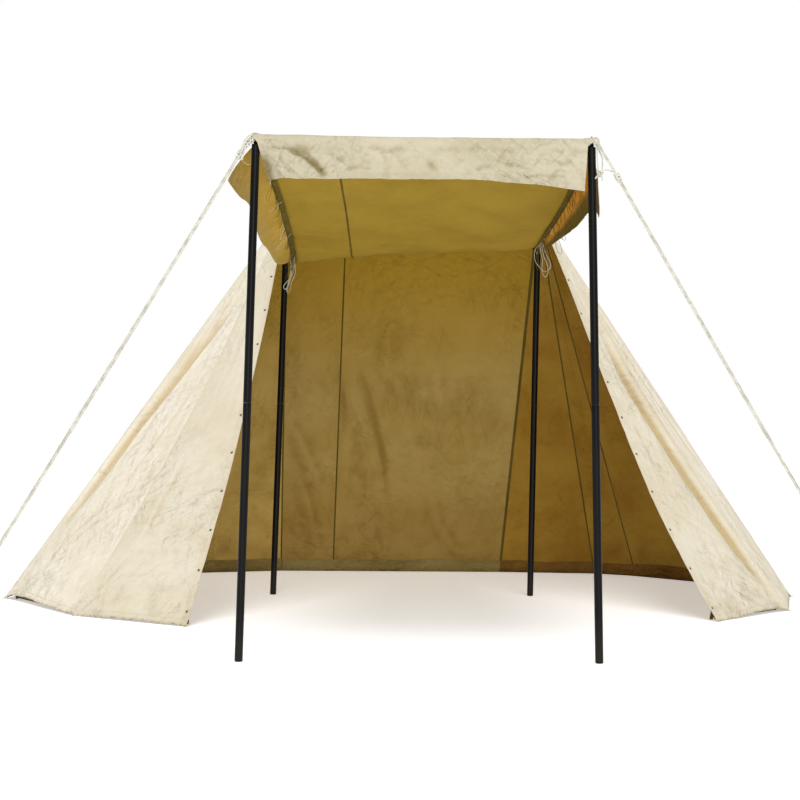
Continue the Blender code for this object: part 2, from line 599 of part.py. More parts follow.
def build():
    clear_scene()
    canvas = make_material("canvas", (0.78, 0.72, 0.56), 0.9)
    lining = make_material("canopy_canvas", (0.62, 0.50, 0.22), 0.9)
    strip = make_material("doubled_canvas", (0.30, 0.24, 0.08), 0.9)
    sod = make_material("sod_canvas", (0.50, 0.47, 0.36), 0.95)
    black = make_material("black_painted_steel", (0.02, 0.02, 0.024), 0.38)
    rope = make_material("white_rope", (0.82, 0.80, 0.72), 0.85)
    steel = make_material("peg_steel", (0.42, 0.43, 0.45), 0.4, 1.0)

    for side, hem, names in ((-1, HEM_LEFT, GORE_NAMES_LEFT), (1, HEM_RIGHT, GORE_NAMES_RIGHT)):
        for name, first, second in zip(names, hem, hem[1:]):
            make_gore(name, side, first, second, canvas)
    make_back_panel("back_wall_narrow", clear_of_spike(-1), seam_side(-SEAM_GAP / 2), canvas)
    make_back_panel("back_wall_wide", seam_side(SEAM_GAP / 2), clear_of_spike(1), canvas)

    make_canopy_panel("canopy_narrow", narrow_columns, lining)
    make_canopy_panel("canopy_wide", wide_columns, lining)
    make_valance(canvas)
    make_lacing_strip("lacing_strip_left", -1, strip)
    make_lacing_strip("lacing_strip_right", 1, strip)
    make_overlap_flap("overlap_flap_left", -1, OVERLAP_LEFT, lining)
    make_overlap_flap("overlap_flap_right", 1, OVERLAP_RIGHT, lining)

    make_end_sod("sod_cloth_left", -1, HEM_LEFT, sod)
    make_end_sod("sod_cloth_right", 1, HEM_RIGHT, sod)
    make_back_sod(sod)

    make_pole("inner_pole_left", INNER_LEFT, RIDGE_Y, INNER_POLE_TOP, black)
    make_pole("inner_pole_right", INNER_RIGHT, RIDGE_Y, INNER_POLE_TOP, black)
    make_pole("front_pole_left", FRONT_LEFT, FRONT_Y, FRONT_POLE_TOP, black)
    make_pole("front_pole_right", FRONT_RIGHT, FRONT_Y, FRONT_POLE_TOP, black)
    make_bar("ridge_bar", -HALF_RIDGE, HALF_RIDGE, RIDGE_Y, RIDGE_BAR_Z, black)
    make_bar("front_bar", FRONT_LEFT["top"], FRONT_RIGHT["top"], FRONT_Y, FRONT_BAR_Z, black)

    for label, pole, guy in (("left", FRONT_LEFT, GUY_LEFT), ("right", FRONT_RIGHT, GUY_RIGHT)):
        frame = GuyFrame(pole, guy)
        make_guy_eye("guy_eye_" + label, frame, rope)
        make_guy_knot("guy_knot_" + label, frame, rope)
        make_guy_rope("guy_rope_" + label, frame, rope)
        make_peg("guy_peg_" + label, frame, steel)

    for name, route in CORD_ROUTES.items():
        tube(name, smooth_route(hang_from_strip(route), CORD_SAMPLES), CORD_RADIUS, rope)


build()
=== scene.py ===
# %% [markdown]
# # A merchant tent, dressed for its portrait
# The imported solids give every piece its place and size. This lesson lays the real looks over them:
# creased canvas, seams, eyelets, painted poles and twisted rope. All of it is in metres, with +Z up
# and the open front towards -Y.

# %% Load the frame
import json
from math import cos, dist, hypot, pi, radians, sin

import bmesh
import bpy
import numpy as np
from mathutils import Matrix, Vector

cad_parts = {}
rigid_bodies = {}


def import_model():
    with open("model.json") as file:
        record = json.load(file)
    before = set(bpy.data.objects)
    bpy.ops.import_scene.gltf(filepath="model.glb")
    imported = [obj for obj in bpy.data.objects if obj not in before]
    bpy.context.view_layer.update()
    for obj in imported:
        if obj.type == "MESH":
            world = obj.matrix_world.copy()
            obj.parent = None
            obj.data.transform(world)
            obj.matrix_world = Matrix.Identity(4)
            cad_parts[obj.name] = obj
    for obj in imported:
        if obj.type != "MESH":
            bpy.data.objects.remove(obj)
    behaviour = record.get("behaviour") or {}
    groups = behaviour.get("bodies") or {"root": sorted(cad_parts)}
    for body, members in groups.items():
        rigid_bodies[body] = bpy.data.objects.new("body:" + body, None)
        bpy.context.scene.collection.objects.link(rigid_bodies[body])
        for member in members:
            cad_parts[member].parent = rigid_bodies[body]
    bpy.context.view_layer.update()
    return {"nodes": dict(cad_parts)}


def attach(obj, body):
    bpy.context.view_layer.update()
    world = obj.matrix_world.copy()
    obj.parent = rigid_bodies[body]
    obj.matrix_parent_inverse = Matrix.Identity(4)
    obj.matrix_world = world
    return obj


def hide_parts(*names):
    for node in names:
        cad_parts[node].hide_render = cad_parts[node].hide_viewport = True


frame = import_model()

print("nodes in the frame:", len(frame["nodes"]))


def placed(name, data):
    """A new object in the scene that holds this mesh, curve, lamp or camera"""
    item = bpy.data.objects.new(name, data)
    bpy.context.scene.collection.objects.link(item)
    return item

# %% [markdown]
# ## The camera
# The photograph was taken from chest height, almost straight in front and a little to the left.
# A long lens, 70 mm on a 36 mm sensor, keeps the poles nearly parallel. The camera's own turns are
# given as three angles, so its matrix is built from them and not aimed at a point.

# %% Place the camera
def aim_camera(place, yaw, pitch, roll, lens):
    data = bpy.data.cameras.new("photo_camera")
    data.lens, data.sensor_width, data.clip_end = lens, 36.0, 200.0
    camera = placed("photo_camera", data)
    ahead = Vector((sin(yaw) * cos(pitch), cos(yaw) * cos(pitch), sin(pitch)))
    right = Vector((cos(yaw), -sin(yaw), 0.0))
    above = right.cross(ahead)
    turned_right = cos(roll) * right + sin(roll) * above
    turned_above = cos(roll) * above - sin(roll) * right
    columns = Matrix((turned_right, turned_above, -ahead)).transposed()
    camera.matrix_world = Matrix.Translation(place) @ columns.to_4x4()
    bpy.context.scene.camera = camera
    return camera


camera = aim_camera((-0.2291, -10.9146, 1.4844), 0.01136, 0.00424, 0.00706, 70.0)
print("camera stands at", [round(c, 3) for c in camera.location])

# %% [markdown]
# ## Smooth routes
# Ropes, cords and cloth edges are given by a few chosen points. The curve through them is read at
# even steps, so that it turns softly.

# %% A smooth route through points
RIDGE_Y = 1.34
FRONT_Y = -1.88


def smooth_route(points, samples):
    p = np.array(points, dtype=float)
    p = np.vstack([2 * p[0] - p[1], p, 2 * p[-1] - p[-2]])
    fine = []
    for a, b, c, d in zip(p, p[1:], p[2:], p[3:]):
        for t in np.linspace(0, 1, 12, endpoint=False):
            fine.append(0.5 * (2 * b + (c - a) * t + (2 * a - 5 * b + 4 * c - d) * t ** 2
                               + (3 * b - a - 3 * c + d) * t ** 3))
    fine = np.array(fine + [p[-2]])
    steps = np.concatenate([[0], np.cumsum(np.linalg.norm(np.diff(fine, axis=0), axis=1))])
    want = np.linspace(0, steps[-1], samples)
    return np.stack([np.interp(want, steps, fine[:, k]) for k in range(3)], axis=1)


def path_length(points):
    return float(np.linalg.norm(np.diff(points, axis=0), axis=1).sum())


def joined(*parts):
    """Arrays of x, y and z, or of two flat coordinates, joined into one array of points"""
    return np.stack(parts, axis=-1)


def unit(vector):
    return np.asarray(vector, dtype=float) / np.linalg.norm(vector)


corner_route = smooth_route([(0, 0, 0), (1, 0, 0), (1, 1, 0)], 30)
print("three points give a route of", round(path_length(corner_route), 3), "m")

# %% [markdown]
# ## Shader maths as plain expressions
# Cloth, rope and paint all need patterns made of small sums. A thin wrapper round a node socket lets
# them be written as ordinary Python: each operator adds the Math node it stands for. Every other
# node comes from one method, which takes its type, the values or links of its sockets, the output
# that is wanted, and its settings.

# %% A small language for materials
def add_node(tree, kind, settings, inputs):
    node = tree.nodes.new(kind)
    for name, value in settings.items():
        setattr(node, name, value)
    fill_inputs(tree, node, inputs or {})
    return node


def fill_inputs(tree, node, inputs):
    """Link sockets to a node's inputs, and put plain values straight on them"""
    for name, value in inputs.items():
        value = getattr(value, "socket", value)
        if isinstance(value, bpy.types.NodeSocket):
            tree.links.new(value, node.inputs[name])
        else:
            node.inputs[name].default_value = value


class Flow:
    def __init__(self, paint, socket):
        self.paint, self.socket = paint, socket

    def math(self, operation, *values):
        return self.paint.node("ShaderNodeMath", dict(enumerate((self,) + values)), operation=operation)

    def __add__(self, other):
        return self.math("ADD", other)

    def __sub__(self, other):
        return self.math("SUBTRACT", other)

    def __rsub__(self, other):
        return self.math("MULTIPLY_ADD", -1.0, other)

    def __mul__(self, other):
        return self.math("MULTIPLY", other)

    __radd__, __rmul__ = __add__, __mul__

    def clamp(self, low, high):
        return self.math("MAXIMUM", low).math("MINIMUM", high)

    def step(self, low, high):
        return self.paint.node("ShaderNodeMapRange", {"Value": self, "From Min": low, "From Max": high},
                               interpolation_type="SMOOTHSTEP")


class Paint:
    def __init__(self, name):
        self.material = bpy.data.materials.new(name)
        self.material.use_nodes = True
        self.tree = self.material.node_tree
        self.shader = self.tree.nodes["Principled BSDF"]

    def node(self, kind, inputs=None, output=0, **settings):
        return Flow(self, add_node(self.tree, kind, settings, inputs).outputs[output])

    def place(self):
        return self.node("ShaderNodeTexCoord", output="Object")

    def cloth_place(self):
        return self.node("ShaderNodeUVMap", uv_map="cloth")

    def attribute(self, name):
        return self.node("ShaderNodeAttribute", output="Fac", attribute_name=name)

    def stretched(self, place, scale, turn=0.0, **settings):
        inputs = {"Vector": place, "Scale": scale, "Rotation": (0.0, 0.0, turn)}
        return self.node("ShaderNodeMapping", inputs, **settings)

    def noise(self, place, scale, detail=2.0, roughness=0.5, distortion=0.0):
        return self.node("ShaderNodeTexNoise", {"Vector": place, "Scale": scale, "Detail": detail,
                                                "Roughness": roughness, "Distortion": distortion})

    def height_above_ground(self):
        return self.node("ShaderNodeSeparateXYZ", {"Vector": self.place()}, "Z")

    def mix(self, share, first, second):
        tones = {6: first, 7: second}
        inputs = {k: tone if isinstance(tone, Flow) else (*tone, 1.0) for k, tone in tones.items()}
        return self.node("ShaderNodeMix", {0: share, **inputs}, 2, data_type="RGBA")

    def finish(self, colour, roughness, height=None, **constants):
        inputs = {name.replace("_", " "): value for name, value in constants.items()}
        inputs.update({"Base Color": colour, "Roughness": roughness})
        if height is not None:
            bump = {"Height": height, "Distance": 1.0, "Strength": 1.0}
            inputs["Normal"] = self.node("ShaderNodeBump", bump, "Normal")
        fill_inputs(self.tree, self.shader, inputs)
        return self.material


print("material language ready")

# %% [markdown]
# ## Colours as a screen shows them
# Colours are easiest to judge as a screen shows them, from 0 to 255, but shaders work with linear
# light. One line turns the first into the second.

# %% Screen colours to linear light
def shade(red, green, blue):
    return tuple((c / 255 / 12.92) if c < 11 else ((c / 255 + 0.055) / 1.055) ** 2.4
                 for c in (red, green, blue))


print("cream canvas in linear light:", [round(c, 3) for c in shade(236, 227, 204)])

# %% [markdown]
# ## Canvas
# The tent is heavy cotton canvas. In daylight its outside is pale cream, while the light that comes
# through makes the inside look ochre, so every sheet of cloth carries two finishes, one on each face.
# Three things give cotton its look: slubby threads too fine to see one by one, small sharp creases
# from years of being folded, and warmer shade in the valleys between folds. The threads and the
# small creases are bump, read from each sheet's own flat coordinates in metres. The valley shade is
# painted into the colour, from an attribute that the sheet builder writes, so that the painted
# shade always lies where the folds are.

# %% Threads and small creases
THREAD_RISE = 0.00022
LARGE_CREASE, SMALL_CREASE, PULLED_THREAD = 0.34, 0.42, 0.005
CREASE_FANS = [(0.25, 0.5, 0.14, 1), (-0.75, 0.38, 0.12, 2), (1.2, 0.4, 0.12, 3), (-1.35, 0.32, 0.1, 4)]
FINE_FANS = [(0.75, 0.15, 0.055, 5), (-0.95, 0.14, 0.05, 6)]
CREASE_SHADE_FANS = [(0.14, 0.75, 0.16, 7), (-0.32, 0.4, 0.1, 8)]


def thread_height(paint, place):
    warp, weft = [paint.noise(paint.stretched(place, scale), 1.0)
                  for scale in ((430.0, 38.0, 1.0), (38.0, 430.0, 1.0))]
    return warp + weft


def folded_noise(paint, place, turn, long, short, seed):
    """Sharp creases that run one way: smooth noise, folded where it crosses its middle value"""
    shifted = paint.node("ShaderNodeVectorMath", {0: place, 1: (seed * 3.7, seed * 1.9, 0.0)},
                         operation="ADD")
    laid = paint.stretched(shifted, (short, long, 1.0), turn, vector_type="TEXTURE")
    return (paint.noise(laid, 1.0, 1.0, 0.35, 0.35) - 0.5).math("ABSOLUTE")


def cloth_height(paint, place, amount, strokes, fine):
    slack = paint.noise(place, 1.5).step(0.34, 0.62) * 0.75 + 0.25
    large, small = 0.0, 0.0
    for turn, long, short, seed in CREASE_FANS:
        rise = LARGE_CREASE * short * (-1 if seed % 2 else 1)
        large = folded_noise(paint, place, turn, long, short, seed) * rise + large
    for turn, long, short, seed in FINE_FANS:
        small = folded_noise(paint, place, turn, long, short, seed) * (SMALL_CREASE * short * fine) + small
    drawn = paint.stretched(place, (30.0, 3.0, 1.0), 0.1)
    pulled = paint.noise(drawn, 1.0, 2.0, 0.5, 0.4) * (PULLED_THREAD * strokes)
    return (large * slack + small * slack + pulled) * amount + thread_height(paint, place) * THREAD_RISE


# %% The two faces of the canvas
# The canopy's soil colour is only ever painted shade, on the valance's turned-back end
OUTSIDE_SOIL, INSIDE_SOIL, CANOPY_END_SHADE = (112, 104, 60), (70, 48, 16), (80, 64, 20)


def canvas_finish(name, light, deep, valley, soil=OUTSIDE_SOIL, amount=1.0, shine=0.15, depth=0.85, edge=0.1,
                  strokes=0.4, fine=1.0, crown=None, foot=None, crease_shade=0.0):
    light, deep, valley, soil = [shade(*tone) for tone in (light, deep, valley, soil)]
    paint = Paint(name)
    place = paint.cloth_place()
    cloudy = paint.noise(place, 1.7, 4.0, 0.6).step(0.35, 0.68)
    flecks = paint.noise(place, 160.0, 2.0, 0.6).step(0.6, 0.8)
    colour = paint.mix(cloudy, light, deep)
    colour = paint.mix(flecks * 0.3, colour, deep)
    # Painted light and shade by height: a deeper, more saturated tone near the crown and a darker tone near
    # the foot
    if crown:
        level = paint.height_above_ground()
        colour = paint.mix(level.step(1.5, 2.7), colour, shade(*crown))
        colour = paint.mix((1.0 - level.step(0.1, 1.2)) * 0.6, colour, shade(*foot))
    # Painted shade in the hollows of the folds, from the valley attribute
    hollow = paint.attribute("valley").clamp(0.0, 1.0)
    colour = paint.mix(hollow * depth, colour, valley)
    # Painted shade along thin crease lines, in the valley colour
    if crease_shade:
        slack = paint.noise(place, 1.7).step(0.46, 0.66) * crease_shade
        for fan in CREASE_SHADE_FANS:
            crease = 1.0 - folded_noise(paint, place, *fan).step(0.0, 0.07)
            colour = paint.mix(crease * slack, colour, valley)
    speckle = paint.noise(place, 34.0, 4.0, 0.7).step(0.38, 0.66)
    # Painted shade: doubled borders turn towards the valley colour, most on the insides, where less light
    # comes through two layers; on the overlap flaps this mask paints their shaded parts
    colour = paint.mix(paint.attribute("border") * edge, colour, valley)
    # Real dirt at the hems; on the canopy the soil attribute is painted shade on the valance's turned-back
    # end
    soil_and_shade = (paint.attribute("soil") * (speckle * 0.7 + 0.3)).clamp(0.0, 1.0)
    colour = paint.mix(soil_and_shade, colour, soil)
    worn = paint.noise(place, 5.0, 3.0, 0.6)
    height = cloth_height(paint, place, amount, strokes, fine)
    return paint.finish(colour, worn * 0.14 + 0.8, height, Specular_IOR_Level=shine)


dim = dict(shine=0.08)
inside = dict(dim, depth=0.7, edge=0.5, strokes=0.6, crease_shade=0.22)
cream = canvas_finish("canvas_outside", (232, 224, 207), (225, 215, 193), (196, 174, 130), depth=0.75)
# Painted shade: the door flaps get a darker copy of the cream
cream_front = canvas_finish("canvas_outside_front", (220, 212, 193), (212, 202, 178), (188, 166, 120))
cream_back = canvas_finish("canvas_outside_back", (232, 224, 207), (225, 215, 193), (210, 197, 166),
                           depth=0.6)
# Painted shade: the canopy's outside is a darker, greyer copy of the cream, for the upright valance that gets
# less light
canopy_cream_shaded = canvas_finish("canopy_outside", (201, 192, 168), (189, 180, 152), (150, 136, 94), amount=1.2,
                          depth=0.9, strokes=0.0, fine=1.5)
ochre = canvas_finish("canvas_inside", (167, 142, 81), (156, 130, 67), (126, 98, 38), INSIDE_SOIL,
                      crown=(161, 128, 39), foot=(137, 110, 54), **inside)
ochre_lit = canvas_finish("canvas_inside_lit", (184, 157, 90), (172, 145, 75), (134, 106, 44), INSIDE_SOIL,
                          crown=(167, 133, 44), foot=(176, 147, 79), **inside)
ochre_shaded = canvas_finish("canvas_inside_shaded", (154, 121, 46), (143, 106, 36), (124, 92, 26),
                             (60, 42, 14), 0.8, **inside)
olive = canvas_finish("canopy_inside", (151, 125, 44), (142, 116, 39), (120, 94, 26), CANOPY_END_SHADE, 0.35,
                      depth=0.35, edge=0.5, **dim)
# Painted light: the overlap flaps' insides are gold and amber where light comes through the single cloth
flap_olive = canvas_finish("overlap_left_inside", (176, 144, 62), (164, 132, 54), (162, 138, 76),
                           CANOPY_END_SHADE, 0.5, depth=0.6, edge=0.85, strokes=0.0, **dim)
flap_amber = canvas_finish("overlap_right_inside", (200, 140, 50), (176, 120, 40), (84, 76, 30),
                           CANOPY_END_SHADE, 0.6, depth=0.8, edge=0.92, strokes=0.0, **dim)
doubled_inside = canvas_finish("doubled_canvas_inside", (92, 80, 30), (80, 68, 24), (54, 44, 12),
                               (50, 38, 14), 0.8, **dim)
seam_cream = canvas_finish("seam_outside", (222, 212, 190), (212, 200, 172), (184, 162, 118), amount=0.6)
strip_cloth = canvas_finish("lacing_strip_cloth", (104, 90, 34), (82, 70, 24), (50, 42, 12), (40, 32, 12),
                            0.8, **dim)
sod_cloth = canvas_finish("sod_cloth_finish", (144, 129, 80), (126, 110, 62), (108, 94, 56),
                          (84, 72, 40), **dim)
sod_shaded = canvas_finish("sod_cloth_shaded", (134, 101, 48), (114, 84, 38), (78, 56, 24),
                           (62, 44, 20), **dim)
print("canvas finishes:", [m.name for m in (cream, canopy_cream_shaded, ochre, olive, strip_cloth, sod_cloth)])

# %% [markdown]
# ## Folds from noise and from listed lines
# A large crease is geometry, because it has to change the outline and catch the light. Two sources
# are added together. Gradient noise, folded at zero, gives the ridges of crumpled cloth anywhere.
# Listed folds are polylines across the cloth with a width on either side and a depth, for the
# valleys and bulges that can be seen in the real tent's walls.

# %% Noise on a sheet
def soft_noise(s, t, seed):
    cell_s, cell_t = np.floor(s), np.floor(t)
    ds, dt = s - cell_s, t - cell_t
    ease_s = ds ** 3 * (ds * (ds * 6 - 15) + 10)
    ease_t = dt ** 3 * (dt * (dt * 6 - 15) + 10)
    corners = []
    for i in (0, 1):
        for j in (0, 1):
            mixed = np.sin((cell_s + i) * 127.1 + (cell_t + j) * 311.7 + seed * 74.7) * 43758.5453
            turn = 2 * np.pi * (mixed - np.floor(mixed))
            corners.append(np.cos(turn) * (ds - i) + np.sin(turn) * (dt - j))
    left = corners[0] * (1 - ease_t) + corners[1] * ease_t
    right = corners[2] * (1 - ease_t) + corners[3] * ease_t
    return 1.4 * (left * (1 - ease_s) + right * ease_s)


def layered_noise(s, t, size, seed, layers=3):
    total = np.zeros_like(s)
    for k in range(layers):
        total += soft_noise(s / size * 2 ** k, t / size * 2 ** k, seed + 17 * k) * 0.5 ** k
    return total


def crumple(s, t, size, seed):
    bend_s = s + 0.45 * size * soft_noise(s / size * 0.8, t / size * 0.8, seed + 5)
    bend_t = t + 0.45 * size * soft_noise(s / size * 0.8, t / size * 0.8, seed + 9)
    folded = np.abs(soft_noise(bend_s / size, bend_t / size, seed))
    finer = np.abs(soft_noise(bend_s / size * 2.1, bend_t / size * 2.1, seed + 3))
    return 0.5 - 1.2 * folded - 0.4 * finer


def smooth_step(value, low, high):
    x = np.clip((value - low) / (high - low), 0.0, 1.0)
    return x * x * (3 - 2 * x)


# %% Folds along listed lines
def one_fold(s, t, line, near, far, depth):
    line = np.array(line, dtype=float)
    lengths = np.linalg.norm(np.diff(line, axis=0), axis=1)
    starts = np.concatenate([[0.0], np.cumsum(lengths)])
    best = np.full(s.shape, 1e9)
    signed = np.zeros(s.shape)
    along = np.zeros(s.shape)
    for k, length in enumerate(lengths):
        step = (line[k + 1] - line[k]) / length
        off_s, off_t = s - line[k][0], t - line[k][1]
        run = np.clip(off_s * step[0] + off_t * step[1], 0.0, length)
        gap_s, gap_t = off_s - run * step[0], off_t - run * step[1]
        gap = np.hypot(gap_s, gap_t)
        closer = gap < best
        best = np.where(closer, gap, best)
        signed = np.where(closer, gap_s * -step[1] + gap_t * step[0], signed)
        along = np.where(closer, (starts[k] + run) / starts[-1], along)
    width = np.where(signed > 0, near, far)
    taper = smooth_step(np.minimum(along, 1 - along), -0.03, 0.28)
    short = 1 - float(smooth_step(starts[-1], 0.5, 1.3))
    beat = soft_noise(along * starts[-1] * (3 + 4 * short), depth * 900, 5)
    uneven = 1 - 0.25 * short + (0.12 + 0.38 * short) * beat
    return depth * np.exp(-(best / width) ** 1.5) * taper * uneven


def lay_folds(s, t, folds, wander=0.012):
    total = np.zeros(s.shape)
    drift_s = soft_noise(s * 9.0, t * 9.0, 91) + 0.4 * soft_noise(s * 23, t * 23, 92)
    drift_t = soft_noise(s * 9.0, t * 9.0, 93) + 0.4 * soft_noise(s * 23, t * 23, 94)
    for line, near, far, depth in folds:
        drift = wander * (1 - 0.85 * float(smooth_step(path_length(np.array(line)), 0.5, 1.3)))
        total += one_fold(s + drift * drift_s, t + drift * drift_t, line, near, far, depth)
    return total


trial_fold = one_fold(np.zeros((1, 1)), np.ones((1, 1)), [(0, 0), (0, 2)], 0.1, 0.1, 0.02)
print("a fold is", round(float(trial_fold[0, 0]), 3), "m deep at its middle")

# %% [markdown]
# ## From a grid of points to a sheet of cloth
# Every sheet starts as a grid of points along the middle of its thickness, with a second grid that
# says where each point was on the flat cloth. The builder offsets it to both sides, closes the rim,
# gives the two faces their own finish, and stores the flat coordinates as a UV map called cloth.
# The valley attribute, which the finishes use to paint shade into the hollows, compares each point
# with its smoothed surroundings.

# %% The sheet builder
def grid_normals(middle, outward):
    down = np.gradient(middle, axis=0)
    across = np.gradient(middle, axis=1)
    normal = np.cross(across, down)
    normal /= np.maximum(np.linalg.norm(normal, axis=2, keepdims=True), 1e-12)
    if np.sum(normal * np.asarray(outward)) < 0:
        normal = -normal
    return normal


def blurred(values, reach):
    for axis in (0, 1):
        padded = np.concatenate([np.repeat(np.take(values, [0], axis), reach, axis), values,
                                 np.repeat(np.take(values, [-1], axis), reach, axis)], axis)
        sums = np.cumsum(padded, axis)
        size = values.shape[axis]
        high = np.take(sums, range(2 * reach, 2 * reach + size), axis)
        low = np.take(sums, range(0, size), axis)
        values = (high - low) / (2 * reach)
    return values


def make_object(name, points, faces, materials, kinds):
    mesh = bpy.data.meshes.new(name)
    mesh.from_pydata([tuple(p) for p in points], [], faces)
    for material in materials:
        mesh.materials.append(material)
    mesh.polygons.foreach_set("material_index", np.asarray(kinds, dtype=np.int32))
    mesh.shade_smooth()
    return placed(name, mesh)


HEM_EXTRA = 0.0014


def make_sheet(name, middle, flat, outward, materials, heights=None, soil=None, border=None,
               thick=0.0016, valley_depth=0.01, reach=5, shaded=0.0):
    rows, columns = middle.shape[:2]
    normal = grid_normals(middle, outward)
    lift, dirt, doubled = [np.zeros((rows, columns)) if given is None else given
                           for given in (heights, soil, border)]
    half = ((thick + HEM_EXTRA * doubled) / 2)[..., None]
    outer, inner = middle + normal * half, middle - normal * half
    count = rows * columns
    index = np.arange(count).reshape(rows, columns)
    a, b, c, d = index[:-1, :-1], index[:-1, 1:], index[1:, 1:], index[1:, :-1]
    quads = joined(a, b, c, d).reshape(-1, 4)
    way = np.cross(middle[0, 1] - middle[0, 0], middle[1, 0] - middle[0, 0]) @ normal[0, 0]
    if way < 0:
        quads = quads[:, [0, 3, 2, 1]]
    edge = np.concatenate([index[0, :], index[1:, -1], index[-1, -2::-1], index[-2:0:-1, 0]])
    rim = np.stack([edge, np.roll(edge, -1), np.roll(edge, -1) + count, edge + count], axis=1)
    if way > 0:
        rim = rim[:, ::-1]
    faces = np.concatenate([quads, quads[:, [0, 3, 2, 1]] + count, rim])
    kinds = [0] * len(quads) + [1] * len(quads) + [0] * len(rim)
    points = np.concatenate([outer.reshape(-1, 3), inner.reshape(-1, 3)])
    sheet = make_object(name, points, faces.tolist(), materials, kinds)
    mesh = sheet.data
    uv = mesh.uv_layers.new(name="cloth")
    corner = np.zeros(len(mesh.loops), dtype=np.int32)
    mesh.loops.foreach_get("vertex_index", corner)
    both = np.concatenate([flat.reshape(-1, 2)] * 2)
    uv.data.foreach_set("uv", both[corner].astype(np.float32).ravel())
    # Painted shade: the valley attribute darkens the hollows, and on the outside the shaded far slopes of
    # deep folds are added to it
    hollow = (blurred(lift, reach) - lift) / valley_depth
    for label, outside, inside in (("valley", hollow + shaded, -hollow), ("soil", dirt, dirt),
                                   ("border", doubled, doubled)):
        values = np.concatenate([outside.ravel(), inside.ravel()]).astype(np.float32)
        mesh.attributes.new(label, "FLOAT", "POINT").data.foreach_set("value", values)
    mesh.set_sharp_from_angle(angle=radians(70))
    return sheet


def dressed(piece, slot, *nodes):
    """The piece stands in for these nodes and stays with the tent's one body; slot is not used"""
    if nodes:
        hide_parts(*nodes)
    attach(piece, "root")
    return piece


def triangle_count(item):
    return sum(len(p.vertices) - 2 for p in item.data.polygons)


def report(label, *pieces):
    print(label + ":", sum(map(triangle_count, pieces)), "triangles")


print("sheet builder ready")

# %% [markdown]
# ## The walls
# Each end of the tent is half a cone, cut from gores that meet at the pole's spike. A gore hangs
# between two seams, so the seams are drawn first: each runs from the crown to its hem corner, and
# the front ones bow a little towards the door, as pegged canvas does. A gore is then a grid between
# its two seams. Its folds fade out at the seams, so that neighbours meet exactly.

# %% Seams from the crown to the hem
HALF_RIDGE = 0.99
RIDGE_TOP = 3.0
CROWN_REACH, CROWN_START = 0.0185, 0.0095
SKIN = 0.0013
LOWEST = 0.0011
SEAMS_LEFT = [
    {"turn": -73.5, "radius": 1.906, "bow": (0.05, -0.01), "peak": 1.0},
    {"turn": -43.4, "radius": 1.914, "bow": (0.09, -0.04), "peak": 1.1},
    {"turn": -10.0, "radius": 2.145}, {"turn": 23.0, "radius": 1.99}, {"turn": 56.0, "radius": 1.9},
    {"turn": 85.5, "radius": 1.8557}]
SEAMS_RIGHT = [
    {"turn": -51.9, "radius": 1.831, "bow": (-0.085, -0.02), "peak": 1.7},
    {"turn": -24.9, "radius": 1.976, "bow": (-0.072, -0.02), "peak": 1.2},
    {"turn": 0.6, "radius": 2.03}, {"turn": 28.0, "radius": 1.98}, {"turn": 56.4, "radius": 1.9},
    {"turn": 68.2, "radius": 1.9}, {"turn": 94.5, "radius": 1.8557}]


def slant_line(v, radius, least):
    """How far a seam has come from the ridge, and how high it is, at shares of its slant"""
    slant, down = hypot(radius, RIDGE_TOP), np.maximum(v, 0.0)
    reach = CROWN_REACH + (radius - CROWN_REACH) * down - SKIN * RIDGE_TOP / slant
    height = RIDGE_TOP * (1 - down) - SKIN * (radius / slant + (v < 0) * 0.4)
    return np.where(v < 0, least, reach), np.maximum(height, LOWEST)


def seam_place(side, seam, v):
    turn, bow = radians(seam["turn"]), seam.get("bow", (0.0, 0.0))
    reach, height = slant_line(v, seam["radius"], CROWN_START)
    bend = np.sin(np.pi * np.maximum(v, 0.0) ** seam.get("peak", 1.0))
    return joined(side * (HALF_RIDGE + reach * cos(turn)) + bow[0] * bend,
                  RIDGE_Y + reach * sin(turn) + bow[1] * bend, height)


foot = seam_place(-1, SEAMS_LEFT[1], np.array([1.0]))[0]
print("the left front seam reaches the ground at", [round(float(c), 3) for c in foot])

# %% [markdown]
# A gore knows its two seams and its own folds. Near the crown the cloth is drawn into fine pleats
# that fan out from the spike; lower down it is crumpled and slack, and the hem lifts off the ground
# in places, where the paler sod cloth shows under it.

# %% One length of wall cloth
DEEP_FOLD = 0.05
FAR_SLOPE = 0.05
FINE_ROWS = 200


